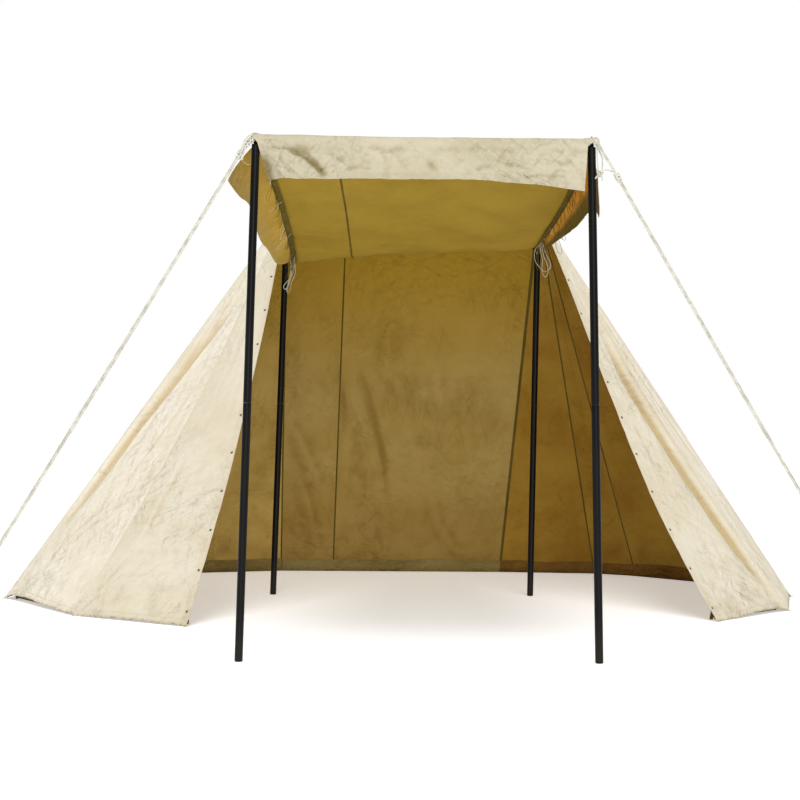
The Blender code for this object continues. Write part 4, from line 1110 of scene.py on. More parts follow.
# %% [markdown]
# ## Seams
# Lengths of canvas are joined with flat seams: two layers folded into each other and sewn down
# twice. From outside a seam is a faint raised strip. From inside it is a dark line, because four
# layers of cloth let less light through. Each strip is laid along the line where two lengths meet
# and takes its shape from both of them.

# %% Lay the seam strips
SEAM_WIDTH, SEAM_THICK = 0.013, 0.0034
seam_strips, stitch_rows = {}, []


def hash_place(name):
    return sum(ord(letter) * (k + 3) for k, letter in enumerate(name)) % 97 * 0.31


def seam_between(name, first, second, second_end=False):
    a, b = walls[first], walls[second]
    outward = a.outward + b.outward
    width = SEAM_WIDTH * (1.8 if name == "seam_back_right" else 1.0)
    v = np.linspace(0.006, 1.0, 110)
    lines = []
    for wall, at_end, offset in ((a, True, 0.5), (a, True, 0.25), (a, True, 0.0), (b, second_end, 0.25),
                                 (b, second_end, 0.5)):
        share = np.minimum(offset * width, 0.35 * wall.width(v)) / wall.width(v)
        lines.append(wall.middle(1 - share if at_end else share, v)[0])
    grid = np.stack(lines, axis=1)
    flat = np.stack(np.meshgrid(np.arange(5) * 0.005, v * 3.5), axis=-1) + (hash_place(name), 0)
    strip = make_sheet(name, grid, flat, outward, [seam_cream, doubled_inside], thick=SEAM_THICK)
    seam_strips[first] = dressed(strip, "canvas")
    stitch_rows.append((grid, outward))


for label, (_, _, gores) in ENDS.items():
    names = list(gores)
    for count, (first, second) in enumerate(zip(names, names[1:]), 1):
        seam_between(f"seam_{label}_{count}", first, second)
seam_between("seam_back_left", "gore_left_back", "back_wall_narrow")
seam_between("seam_back_right", "gore_right_back", "back_wall_wide", True)
seam_between("seam_back_middle", "back_wall_narrow", "back_wall_wide")


CANOPY_SEAM = [(0.0, -0.46), (1.2, -0.462), (2.2, -0.478), (3.1, -0.508), (3.6, -0.512)]


def canopy_column(offset):
    x = np.interp(canopy_flat[:, 0, 1], *zip(*CANOPY_SEAM)) + offset
    return np.stack([[np.interp(x[k], canopy_flat[k, :, 0], canopy_grid[k, :, axis]) for axis in range(3)]
                     for k in range(len(canopy_grid))])


grid = np.stack([canopy_column(SEAM_WIDTH * share) for share in (-0.5, -0.25, 0, 0.25, 0.5)], axis=1)
flat = np.stack(np.meshgrid(np.arange(5) * 0.005, canopy_flat[:, 0, 1]), axis=-1) + (7.7, 0)
canopy_seam = make_sheet("seam_canopy", grid, flat, grid_normals(grid, outward[:, :5]),
                         [canopy_cream_shaded, doubled_inside], thick=SEAM_THICK)
dressed(canopy_seam, "canopy_canvas")
print("seams:", len(seam_strips) + 1)

# %% [markdown]
# Over the ridge, where the canopy and the back wall meet, a doubled tape takes the load of the bar.
# At each end of the ridge a half-round patch covers the point where all the gores come together.

# %% Ridge tape and crown patches
TAPE_LIFT, PATCH_LIFT = 0.0017, 0.0027
back = [(-reach, RIDGE_TOP - SKIN - max(0.0, reach - CROWN_REACH) * RIDGE_TOP / BACK_REACH)
        for reach in (0.056, 0.045, 0.034, 0.024, 0.016, 0.009, 0.002)]
ahead = [(f, z) for f, z, _ in canopy_profile if 0.003 < f < 0.04]
profile = np.array(back + ahead[::2])
along = np.gradient(profile, axis=0)
sheer = np.stack([-along[:, 1], along[:, 0]], axis=1) / np.linalg.norm(along, axis=1)[:, None]
lifted = profile + sheer * TAPE_LIFT
across = np.linspace(-HALF_RIDGE + 0.004, HALF_RIDGE - 0.004, 90)
wave = 0.0005 * soft_noise(across * 14, 0.0, 31)
grid = np.stack([joined(across, np.full_like(across, RIDGE_Y - f), z + wave) for f, z in lifted])
flat = np.stack(np.meshgrid(across, np.arange(len(lifted)) * 0.01), axis=-1) + (3.1, 9.0)
ridge_tape = make_sheet("ridge_tape", grid, flat, np.zeros_like(grid) + (0, 0, 1),
                        [seam_cream, doubled_inside])
dressed(ridge_tape, "canvas")
for label, (side, _, gores) in ENDS.items():
    v = np.array([-0.001, 0.0, 0.005, 0.011, 0.017, 0.023, 0.028, 0.032])
    parts = []
    for name in gores:
        u = np.linspace(0, 1, 9)[: None if name == list(gores)[-1] else -1]
        parts.append(walls[name].middle(*np.meshgrid(u, v))[0])
    grid = np.concatenate(parts, axis=1)
    aim = grid - np.array([side * HALF_RIDGE, RIDGE_Y, 2.9])
    grid = grid + grid_normals(grid, aim) * PATCH_LIFT
    turn = np.linspace(0, 3.0, grid.shape[1])
    flat = joined(np.outer(v, np.cos(turn)), np.outer(v, np.sin(turn))) * 3.5 + (5.0, 2.0)
    patch = make_sheet("crown_patch_" + label, grid, flat, aim, [seam_cream, doubled_inside], thick=0.0012)
    dressed(patch, "canvas")
print("ridge tape and crown patches made")

# %% [markdown]
# ## A small language for geometry trees
# Eyelets, stitches, rope strands and lacing loops all repeat, so they are grown by Geometry Nodes.
# The helper adds nodes and links by name. Each finished tree runs once on its object, and the result
# is kept as a plain mesh.

# %% Build and run geometry trees
class Grower:
    def __init__(self, name, sizes):
        self.tree = bpy.data.node_groups.new(name, "GeometryNodeTree")
        self.ids = {}
        for label, kind in {"Geometry": "Geometry", **sizes, "Material": "Material"}.items():
            socket = self.tree.interface.new_socket(label, in_out="INPUT", socket_type="NodeSocket" + kind)
            self.ids[label] = socket.identifier
        self.tree.interface.new_socket("Geometry", in_out="OUTPUT", socket_type="NodeSocketGeometry")
        self.source = self.tree.nodes.new("NodeGroupInput")
        self.sink = self.tree.nodes.new("NodeGroupOutput")

    def given(self, label):
        return self.source.outputs[label]

    def node(self, kind, inputs=None, output=0, **settings):
        return add_node(self.tree, kind, settings, inputs).outputs[output]

    def number(self, operation, first, second):
        return self.node("ShaderNodeMath", {0: first, 1: second}, operation=operation)

    def even_steps(self, label):
        """The line that is given, read at even steps of the named size"""
        even = add_node(self.tree, "GeometryNodeResampleCurve", {}, {"Curve": self.given("Geometry")})
        if "Mode" in even.inputs:
            even.inputs["Mode"].default_value = "Length"
        else:
            even.mode = "LENGTH"
        self.tree.links.new(self.given(label), even.inputs["Length"])
        return even.outputs[0]

    def turned_to(self, way):
        return self.node("FunctionNodeAlignRotationToVector", {"Vector": way}, axis="Z")

    def place_on(self, points, shape, way):
        """One shape on every point, with its own Z turned to the way given"""
        inputs = {"Points": points, "Instance": shape, "Rotation": self.turned_to(way)}
        return self.node("GeometryNodeInstanceOnPoints", inputs)

    def end(self, geometry):
        real = self.node("GeometryNodeRealizeInstances", {"Geometry": geometry})
        painted = self.node("GeometryNodeSetMaterial", {"Geometry": real, "Material": self.given("Material")})
        self.tree.links.new(painted, self.sink.inputs[0])

    def run(self, item, name, values):
        modifier = item.modifiers.new("grow", "NODES")
        modifier.node_group = self.tree
        for label, value in values.items():
            modifier[self.ids[label]] = value
        graph = bpy.context.evaluated_depsgraph_get()
        mesh = bpy.data.meshes.new_from_object(item.evaluated_get(graph), depsgraph=graph)
        item.modifiers.remove(modifier)
        bpy.data.objects.remove(item, do_unlink=True)
        mesh.name = name
        mesh.shade_smooth()
        mesh.set_sharp_from_angle(angle=radians(50))
        return placed(name, mesh)


def points_object(places, facing):
    mesh = bpy.data.meshes.new("points")
    mesh.from_pydata([tuple(p) for p in places], [], [])
    mesh.attributes.new("facing", "FLOAT_VECTOR", "POINT").data.foreach_set(
        "vector", np.asarray(facing, dtype=np.float32).ravel())
    return placed("points", mesh)


def lines_object(lines, cyclic=False):
    curve = bpy.data.curves.new("lines", "CURVE")
    curve.dimensions = "3D"
    for line in lines:
        spline = curve.splines.new("POLY")
        spline.points.add(len(line) - 1)
        for point, place in zip(spline.points, line):
            point.co = (*[float(c) for c in place], 1.0)
        spline.use_cyclic_u = cyclic
    return placed("lines", curve)


print("geometry trees can be grown")

# %% [markdown]
# ## Eyelets
# A row of ten steel eyelets runs down each door edge, about 0.3 m apart. Each is a rolled ring
# around a dark hole. One tree puts a ring on every point, on both faces of the cloth, and turns it
# to the cloth's normal. A second tree puts a dark disc there, painted shade that stands for the hole.

# %% Finishes of metal, thread and rope
def metal_finish(name, bright, dull, size, spread, rough, least, **constants):
    """Mottled metal: the roughness is `least` and rises by up to `rough`"""
    paint = Paint(name)
    mottled = paint.noise(paint.place(), size, 3.0, 0.6)
    colour = paint.mix(mottled.step(0.4, spread), shade(*bright), shade(*dull))
    return paint.finish(colour, mottled * rough + least, mottled * 0.0002, **constants)


def plain_finish(name, first, second, size, roughness):
    paint = Paint(name)
    return paint.finish(paint.mix(paint.noise(paint.place(), size), shade(*first), shade(*second)), roughness)


steel = metal_finish("eyelet_steel", (168, 164, 150), (112, 108, 94), 420.0, 0.7, 0.25, 0.32, Metallic=0.85)
# Painted shade: the hole is a dark disc, for the shade seen through it
hole_shade = plain_finish("eyelet_hole", (30, 28, 22), (52, 48, 36), 300.0, 0.95)
thread = plain_finish("sewing_thread", (222, 212, 188), (204, 192, 162), 90.0, 0.8)

# %% Ring and disc trees
def facing_instances(grow, shape):
    facing = grow.node("GeometryNodeInputNamedAttribute", {"Name": "facing"}, data_type="FLOAT_VECTOR")
    grow.end(grow.place_on(grow.given("Geometry"), shape, facing))


def ring_part(grow, sides, size):
    return grow.node("GeometryNodeCurvePrimitiveCircle", {"Resolution": sides, "Radius": grow.given(size)})


ring_tree, disc_tree = [Grower(name, {"Ring Radius": "Float", "Wire": "Float"})
                        for name in ("eyelet_rings", "eyelet_discs")]
ring = ring_tree.node("GeometryNodeCurveToMesh", {"Curve": ring_part(ring_tree, 20, "Ring Radius"),
                                                  "Profile Curve": ring_part(ring_tree, 8, "Wire")})
facing_instances(ring_tree, ring_tree.node("GeometryNodeTransform", {"Geometry": ring,
                                                                     "Scale": (1.0, 1.0, 0.6)}))
facing_instances(disc_tree, disc_tree.node("GeometryNodeMeshCylinder", {
    "Vertices": 16, "Radius": disc_tree.given("Ring Radius"), "Depth": disc_tree.given("Wire")}))
FIRST_EYELET, EYELET_PITCH, EYELET_INSET = 0.176, 0.0883, 0.028
EYELETS, RING_LIFT = 10, 0.0018


def door_eyelets(wall):
    v = FIRST_EYELET + EYELET_PITCH * np.arange(EYELETS)
    u = EYELET_INSET / wall.width(v)
    place = wall.middle(u, v)[0]
    near = wall.middle(u + 0.01, v)[0] - place
    below = wall.middle(u, v + 0.004)[0] - place
    facing = np.cross(near, below)
    facing *= np.sign(facing @ wall.outward)[:, None] / np.linalg.norm(facing, axis=1)[:, None]
    return place, facing


eyelet_pieces = {}
for label in ENDS:
    name = f"door_flap_{label}_front"
    place, facing = door_eyelets(walls[name])
    both = np.concatenate([place + facing * RING_LIFT, place - facing * RING_LIFT])
    rings = ring_tree.run(points_object(both, np.concatenate([facing, -facing])), "eyelet_rings_" + label,
                          {"Ring Radius": 0.008, "Wire": 0.0022, "Material": steel})
    holes = disc_tree.run(points_object(place, facing), "eyelet_holes_" + label,
                          {"Ring Radius": 0.006, "Wire": 0.0046, "Material": hole_shade})
    eyelet_pieces[name] = [dressed(item, "peg_steel") for item in (rings, holes)]
    print("eyelets on the", label, "door edge:", len(place))

# %% [markdown]
# ## Stitches
# Two rows of stitches hold the seams between the walls, the door edges and the hems of the door
# flaps and back walls. A stitch is a short round bar of thread. The tree reads each line at an even
# pitch, and lays one stitch along it at every point.

# %% Grow the stitches
ABOVE_CLOTH, ABOVE_SEAM = 0.0017, 0.0019
stitch_tree = Grower("stitches", {"Pitch": "Float", "Stitch Length": "Float", "Thread Radius": "Float"})
stitch = stitch_tree.node("GeometryNodeMeshCylinder", {
    "Vertices": 4, "Radius": stitch_tree.given("Thread Radius"), "Depth": stitch_tree.given("Stitch Length")})
stitch_tree.end(stitch_tree.place_on(stitch_tree.even_steps("Pitch"), stitch,
                                     stitch_tree.node("GeometryNodeInputTangent")))

seam_lines, hem_lines = [], []
for grid, way in stitch_rows:
    normal = grid_normals(grid, np.zeros_like(grid) + way)
    for k, step in ((1, -1), (3, 1)):
        seam_lines.append((grid[2:, k] * 0.6 + grid[2:, k + step] * 0.4) + normal[2:, k] * ABOVE_SEAM)
for wall in walls.values():
    u, v = np.linspace(0.01, 0.99, 60), np.linspace(0.06, 0.985, 150)
    if wall.name.startswith(("door_flap", "back")):
        for distance in (0.04, 0.046):
            low = np.full_like(u, 1 - distance / wall.slant)
            hem_lines.append(wall.middle(u, low)[0] + wall.outward * ABOVE_CLOTH)
    if wall.free_side:
        for distance in (0.006, 0.046):
            hem_lines.append(wall.middle(distance / wall.width(v), v)[0] + wall.outward * ABOVE_CLOTH)
stitch_values = {"Pitch": 0.016, "Stitch Length": 0.0105, "Thread Radius": 0.0008, "Material": thread}
stitch_pieces = []
for name, lines in (("seam_stitches_one", seam_lines[:14]), ("seam_stitches_two", seam_lines[14:]),
                    ("hem_stitches", hem_lines)):
    stitch_pieces.append(dressed(stitch_tree.run(lines_object(lines), name, stitch_values), "canvas"))
    report(name, stitch_pieces[-1])

# %% [markdown]
# ## Twisted rope
# The guy lines are white laid rope: three strands wound round each other. The tree reads a line at
# even steps, turns each step a little further, and sweeps a three-lobed outline along it. With flat
# lobes the same tree makes plain thin cord.

# %% The rope tree and its finishes
rope_tree = Grower("twisted_rope", {"Step": "Float", "Radius": "Float", "Lay": "Float", "Lobe": "Float",
                                    "Sides": "Int"})
run = rope_tree.node("GeometryNodeSplineParameter", output="Length")
turns = rope_tree.number("DIVIDE", run, rope_tree.given("Lay"))
twist = rope_tree.number("MULTIPLY", turns, 2 * pi)
tilted = rope_tree.node("GeometryNodeSetCurveTilt", {"Curve": rope_tree.even_steps("Step"), "Tilt": twist})
outline = rope_tree.node("GeometryNodeCurvePrimitiveCircle", {"Resolution": rope_tree.given("Sides"),
                                                              "Radius": rope_tree.given("Radius")})
around = rope_tree.node("GeometryNodeSplineParameter", output="Factor")
third = rope_tree.number("COSINE", rope_tree.number("MULTIPLY", around, 6 * pi), 0.0)
swell = rope_tree.number("MULTIPLY", rope_tree.number("SUBTRACT", third, 1.0), rope_tree.given("Lobe"))
scaled = rope_tree.node("ShaderNodeVectorMath", {0: rope_tree.node("GeometryNodeInputPosition"),
                                                 "Scale": rope_tree.number("ADD", swell, 1.0)},
                        operation="SCALE")
lobed = rope_tree.node("GeometryNodeSetPosition", {"Geometry": outline, "Position": scaled})
rope_tree.end(rope_tree.node("GeometryNodeCurveToMesh", {"Curve": tilted, "Profile Curve": lobed,
                                                         "Fill Caps": True}))


def rope_finish(name, clean, worn, amount):
    clean, worn = shade(*clean), shade(*worn)
    paint = Paint(name)
    place = paint.place()
    cloudy = paint.noise(place, 22.0, 3.0, 0.6).step(0.35, 0.7)
    fuzz = paint.noise(place, 900.0, 2.0, 0.7)
    colour = paint.mix(cloudy, clean, worn)
    colour = paint.mix(fuzz.step(0.5, 0.75) * 0.4, colour, worn)
    return paint.finish(colour, fuzz * 0.1 + 0.82, fuzz * amount, Specular_IOR_Level=0.15)


white_rope = rope_finish("white_laid_rope", (230, 227, 214), (196, 192, 176), 0.0008)
pale_cord = rope_finish("pale_lacing_cord", (212, 206, 188), (178, 170, 146), 0.0004)
olive_cord = rope_finish("olive_lacing_cord", (112, 98, 42), (72, 62, 22), 0.0004)


def lay_rope(name, lines, radius=0.005, lobe=0.13, lay=0.036, step=0.004, material=white_rope, cyclic=False,
             sides=12, nodes=()):
    values = {"Step": step, "Radius": radius * (1 + 0.35 * lobe), "Lay": lay, "Lobe": lobe, "Sides": sides,
              "Material": material}
    return dressed(rope_tree.run(lines_object(lines, cyclic), name, values), "white_rope", *nodes)


print("rope tree ready")

# %% [markdown]
# ## The guy lines
# Each guy hangs on the front pole's spike by an eye, is knotted below it, and runs doubled to a steel
# peg far in front. The frame below holds the line's own directions: out over the ground, sideways,
# and down along the pull.

# %% Directions of a guy line
SPIKE_RADIUS, ROPE_RADIUS, PEG_RADIUS = 0.006, 0.005, 0.007
LEG_SPREAD = 0.0084
PEG_REACH, PEG_ROPE_Z = 4.5, 0.027
EYE_LEVEL = 3.0514
GUYS = {"left": (-0.974, -2.59, 0.105, 2.94), "right": (0.978, 2.49, 0.174, 2.82)}
RAISED = np.array([0.0, 0.0, 1.0])


class GuyFrame:
    def __init__(self, spike_x, peg_x, knot_out, knot_z):
        self.spike = np.array([spike_x, FRONT_Y, 0.0])
        span = np.array([peg_x, RIDGE_Y - PEG_REACH, 0.0]) - self.spike
        self.out = unit(span)
        self.side = np.array([-self.out[1], self.out[0], 0.0])
        self.knot = self.place(knot_out, 0.0, knot_z)
        self.loop = self.place(np.linalg.norm(span), 0.0, PEG_ROPE_Z)
        self.pull = unit(self.loop - self.knot)

    def place(self, out, side, z):
        return self.spike + self.out * out + self.side * side + RAISED * z


guys = {label: GuyFrame(*facts) for label, facts in GUYS.items()}
print({label: [round(float(c), 3) for c in guy.knot] for label, guy in guys.items()})


# %% Eyes, doubled lines and hitches
EYE_LEGS = {"left": [(0.3, 0.88, 0.0), (0.55, 0.75, 0.175), (0.82, 0.6, 0.55)],
            "right": [(0.13, 0.95, 0.01), (0.24, 0.9, 0.12), (0.45, 0.8, 0.38), (0.75, 0.7, 0.71)]}


def eye_route(guy, legs):
    ring = SPIKE_RADIUS + ROPE_RADIUS + 0.0008
    around = [guy.place(ring * cos(a), ring * sin(a), EYE_LEVEL)
              for a in np.radians(range(90, 271, 30))]
    tip = guy.knot - guy.pull * 0.004
    tip_out, fall = (tip - guy.spike) @ guy.out, EYE_LEVEL - tip[2]
    down, up = [[guy.place(tip_out * share, way * ring * width, EYE_LEVEL - fall * lower)
                 for share, width, lower in legs] for way in (-1, 1)]
    return smooth_route([tip + guy.side * 0.005] + up[::-1] + around + down + [tip - guy.side * 0.005], 160)


def doubled_route(guy):
    turn = PEG_RADIUS + ROPE_RADIUS + 0.0006
    along = guy.loop - guy.knot
    shares = np.linspace(0, 1, 30)
    sag = 0.012 * np.sin(np.pi * shares)
    spread = LEG_SPREAD + (turn - LEG_SPREAD) * shares
    down = [guy.knot + along * s - guy.side * w - RAISED * h for s, w, h in zip(shares, spread, sag)]
    arc = [guy.loop + guy.pull * turn * cos(a) + guy.side * turn * sin(a)
           for a in np.radians(range(-60, 61, 30))]
    up = [guy.knot + along * s + guy.side * w - RAISED * 1.1 * h
          for s, w, h in zip(shares[::-1], spread[::-1], sag)]
    return np.array(down + arc + up)


def hitch_route(guy, centre, turns, radius, pitch):
    up = unit(np.cross(guy.side, guy.pull))
    angle = np.linspace(0, 2 * pi * turns, int(24 * turns))
    reach = (angle / (2 * pi) - turns / 2) * pitch
    return [centre + guy.pull * r + guy.side * radius * cos(a) + up * radius * sin(a)
            for a, r in zip(angle, reach)]


for label, guy in guys.items():
    coils = [hitch_route(guy, guy.knot, 3.5, 0.0135, 0.0098),
             hitch_route(guy, guy.knot + guy.pull * 0.03, 1.5, 0.0125, 0.011)]
    report(label + " guy",
           lay_rope("guy_eye_rope_" + label, [eye_route(guy, EYE_LEGS[label])], 0.0055,
                    nodes=["guy_eye_" + label]),
           lay_rope("guy_line_rope_" + label, [doubled_route(guy)], 0.0064, nodes=["guy_rope_" + label]),
           lay_rope("guy_hitch_" + label, coils, lobe=0.1, step=0.0025, nodes=["guy_knot_" + label]))

# %% [markdown]
# The two upper ends differ, as they do on the real tent. At the left the spare rope is wound in a
# thick twisted bundle from the bar to the knot. At the right it hangs from the eye in a small knot
# with two tails.

# %% Spare rope at the upper ends
def wound(start, end, radius, turns, phase):
    axis = unit(end - start)
    side = unit(np.cross(axis, RAISED))
    other = np.cross(axis, side)
    points = []
    for t in np.linspace(0, 1, 70):
        a = phase + 2 * pi * turns * t
        swell = radius * (0.55 + 0.55 * sin(pi * min(1.0, t * 1.15)))
        points.append(start + (end - start) * t + (side * cos(a) + other * sin(a)) * swell)
    return points


def tied_knot(centre, size):
    """A trefoil knot that faces the front"""
    t = np.linspace(0, 2 * pi, 90, endpoint=False)
    return centre + size * joined((np.sin(t) + 2 * np.sin(2 * t)) / 3, 0.55 * np.sin(3 * t),
                                  (np.cos(t) - 2 * np.cos(2 * t)) / 3)


left, right = guys["left"], guys["right"]
bundle_start = left.place(-0.012, 0.0, 3.062)
bundle_end = left.knot - left.pull * 0.012 + left.out * 0.004
strands = [wound(bundle_start, bundle_end, 0.0125, 2.2, phase) for phase in (0.0, 2.09, 4.19)]
over_bar = smooth_route([(-0.95, -1.852, 3.052), (-0.957, -1.858, 3.062), (-0.968, -1.862, 3.068),
                         (-0.984, -1.868, 3.067), (-0.995, -1.882, 3.06), (-1.002, -1.895, 3.045)], 60)
drooping = smooth_route([left.place(0.1, 0.012, 2.956), left.place(0.118, 0.024, 2.928),
                         left.place(0.108, 0.02, 2.9), left.place(0.09, 0.006, 2.916)], 40)
thin_loop = smooth_route([(-1.066, -1.955, 2.925), (-1.056, -1.952, 2.908), (-1.04, -1.94, 2.89),
                          (-1.022, -1.92, 2.88), (-1.008, -1.9, 2.879), (-1.002, -1.885, 2.886)], 60)
bundle = lay_rope("guy_bundle_left", strands + [over_bar, drooping], 0.0048, step=0.0028)
lay_rope("guy_thin_loop_left", [thin_loop], 0.0016, lobe=0.0, material=pale_cord)

eye_foot = right.place(0.02, 0.0, 3.046)
knot = lay_rope("guy_spare_knot_right", [tied_knot(np.array([1.024, -1.915, 2.846]), 0.019)], 0.0047,
                step=0.0025, cyclic=True)
SPARE_LINES = [
    (50, [eye_foot + (0.002, -0.006, 0.002), (1.006, -1.902, 2.99), (1.008, -1.912, 2.925),
          (1.012, -1.916, 2.866)]),
    (50, [eye_foot + (0.008, -0.01, 0.0), (1.016, -1.905, 2.985), (1.036, -1.915, 2.93),
          (1.036, -1.917, 2.868)]),
    (30, [(1.034, -1.917, 2.858), (1.056, -1.934, 2.862), (1.078, -1.955, 2.853), (1.092, -1.972, 2.846)]),
    (24, [(1.018, -1.917, 2.838), (1.004, -1.922, 2.826), (0.996, -1.925, 2.812)]),
    (24, [(1.03, -1.917, 2.836), (1.036, -1.921, 2.818), (1.034, -1.923, 2.802)])]
spare = lay_rope("guy_spare_lines_right", [smooth_route(points, count) for count, points in SPARE_LINES],
                 0.0042)
ring = [(1.002 + 0.017 * cos(a), FRONT_Y - 0.016 + 0.006 * sin(a), 3.034 + 0.023 * sin(a))
        for a in np.linspace(0, 2 * pi, 40, endpoint=False)]
report("spare rope", bundle, knot, spare, lay_rope("guy_ring_right", [ring], 0.0047, cyclic=True))

# %% [markdown]
# ## Painted steel poles
# Each pole is two lengths of steel tube, painted black. The upper length ends in a spike, and the
# lower one in a rounded foot. Where they join, the upper tube is swaged to slip inside, which shows
# as a fine groove. The outline below is turned round the pole's own leaning axis.

# %% Black paint
def black_paint():
    paint = Paint("black_painted_tube")
    place = paint.place()
    smear = paint.noise(paint.stretched(place, (14.0, 14.0, 2.0)), 1.0, 4.0, 0.6)
    dust = paint.noise(place, 240.0, 3.0, 0.7)
    low = 1.0 - paint.height_above_ground().step(0.0, 0.35)
    colour = paint.mix(smear.step(0.4, 0.7), (0.0016, 0.0016, 0.0016), (0.004, 0.0038, 0.0034))
    dusty = (dust.step(0.62, 0.8) * 0.25 + low * dust * 0.2).clamp(0.0, 0.5)
    colour = paint.mix(dusty, colour, shade(92, 84, 66))
    return paint.finish(colour, smear * 0.16 + 0.26 + dust * 0.08, smear * 0.0006 + dust * 0.00012,
                        Specular_IOR_Level=0.15)


POLE_RADIUS, POLE_JOINT_Z = 0.024, 1.5
FRONT_POLE_TOP, INNER_POLE_TOP = 3.0021, 2.9524
SPIKE_SHOWN = 0.062
POLES = {"front_pole_left": (-1.052, -0.974, FRONT_Y, FRONT_POLE_TOP),
         "front_pole_right": (1.043, 0.978, FRONT_Y, FRONT_POLE_TOP),
         "inner_pole_left": (-1.078, -0.99, RIDGE_Y, INNER_POLE_TOP),
         "inner_pole_right": (0.946, 0.99, RIDGE_Y, INNER_POLE_TOP)}
black = black_paint()


# %% Turn the poles
def turned_post(name, foot_x, top_x, y, top_z, outline, sides=40):
    angles = 2 * pi * np.arange(sides) / sides
    points, faces = [], []
    for z, radius in outline:
        centre = foot_x + (top_x - foot_x) * min(z, top_z) / top_z
        points += [(centre + radius * cos(a), y + radius * sin(a), z) for a in angles]
    for start in range(0, (len(outline) - 1) * sides, sides):
        for j in range(sides):
            near, far = start + j, start + (j + 1) % sides
            faces.append((near, far, far + sides, near + sides))
    faces += [tuple(range(sides))[::-1], tuple(range((len(outline) - 1) * sides, len(outline) * sides))]
    post = make_object(name + "_tube", points, faces, [black], [0] * len(faces))
    post.data.set_sharp_from_angle(angle=radians(35))
    dressed(post, "black_painted_steel", name)


def foot_round(radius, size):
    turns = np.radians(np.linspace(0, 90, 7))
    return [(size * (1 - cos(t)), radius - size + size * sin(t)) for t in turns]


def shoulder(z, full, *steps):
    """Small steps of an outline: how far above the level z, and how much under the full radius"""
    return [(z + above, full - under) for above, under in steps]


for name, (*line, top_z) in POLES.items():
    full, spike, tip = POLE_RADIUS, SPIKE_RADIUS, top_z + SPIKE_SHOWN
    lower = foot_round(full, 0.008) + [(z, full) for z in np.linspace(0.06, POLE_JOINT_Z - 0.03, 14)]
    lower += shoulder(POLE_JOINT_Z, full, (-0.0035, 0), (-0.0015, 0.0006), (-0.0002, 0.0016))
    upper = shoulder(POLE_JOINT_Z, full, (0.0003, 0.002), (0.002, 0.0012), (0.005, 0.0003))
    upper += [(z, full) for z in np.linspace(POLE_JOINT_Z + 0.02, top_z - 0.02, 14)]
    upper += shoulder(top_z, full, (-0.004, 0), (-0.0018, 0.0008), (-0.0004, 0.0028), (0, 0.005))
    upper += shoulder(top_z, spike, (0, -0.002), (0.002, 0))
    upper += [(tip - below, spike * share)
              for below, share in ((0.01, 1.0), (0.004, 0.82), (0.001, 0.5), (0.0, 0.2))]
    turned_post(name + "_lower", *line, top_z, lower)
    turned_post(name + "_upper", *line, top_z, upper)
print("poles turned:", len(POLES))


# %% Finish of the bars and the pegs
peg_finish = metal_finish("galvanised_peg", (150, 152, 154), (104, 106, 110), 160.0, 0.65, 0.3, 0.32,
                          Metallic=0.9)
for name, finish in (("ridge_bar", black), ("front_bar", black), ("guy_peg_left", peg_finish),
                     ("guy_peg_right", peg_finish)):
    for slot in bpy.data.objects[name].material_slots:
        slot.material = finish
print("bars and pegs finished")

# %% [markdown]
# ## Corners of the canopy
# At both ends of the front bar the canvas runs on past the hem and is drawn over the bar's end. Each
# corner is a small doubled tab in front of the spike and one behind it.

# %% Draw the corners over the bar
TAB_START, TAB_END = 0.938, 0.961
corner_tabs = []
for label, side, wide, proud in (("left", -1, 0.992, 0.0128), ("right", 1, 1.0, 0.0065)):
    for part, start, end in (("front", -38, 76), ("rear", 104, 186)):
        angles = np.linspace(start, end, 22)[:, None]
        turn, share = np.radians(angles), np.linspace(0, 1, 9)[None, :]
        edge = TAB_END + (wide - TAB_END) * (1 - smooth_step(np.abs(angles - 90), 62, 126))
        radius = BAR_LINE + proud + 0.0016 * soft_noise(share * 3, turn * 3, 9 + side)
        x = side * (TAB_START + (edge - TAB_START) * share)
        from_bar = joined(0 * x, -radius * np.cos(turn), radius * np.sin(turn))
        grid = joined(x, FRONT_Y + 0 * x, FRONT_BAR_Z + 0 * x) + from_bar
        flat = joined(np.abs(x) + side * 2, turn * 0.026 + 0 * x + 4.0)
        tab = make_sheet(f"canopy_corner_{label}_{part}", grid, flat, from_bar, [canopy_cream_shaded, canopy_cream_shaded],
                         thick=0.0018)
        corner_tabs.append(dressed(tab, "canopy_canvas"))
print("corner tabs:", len(corner_tabs))

# %% [markdown]
# ## Loose lacing
# Thin cord once laced the front wall shut. With the wall raised, four long loops of it hang from the
# strips by the two inner poles. A route gives x, how far ahead of the ridge and the height, in
# millimetres. Its ends follow the strip, and its lowest point stays where the route puts it.

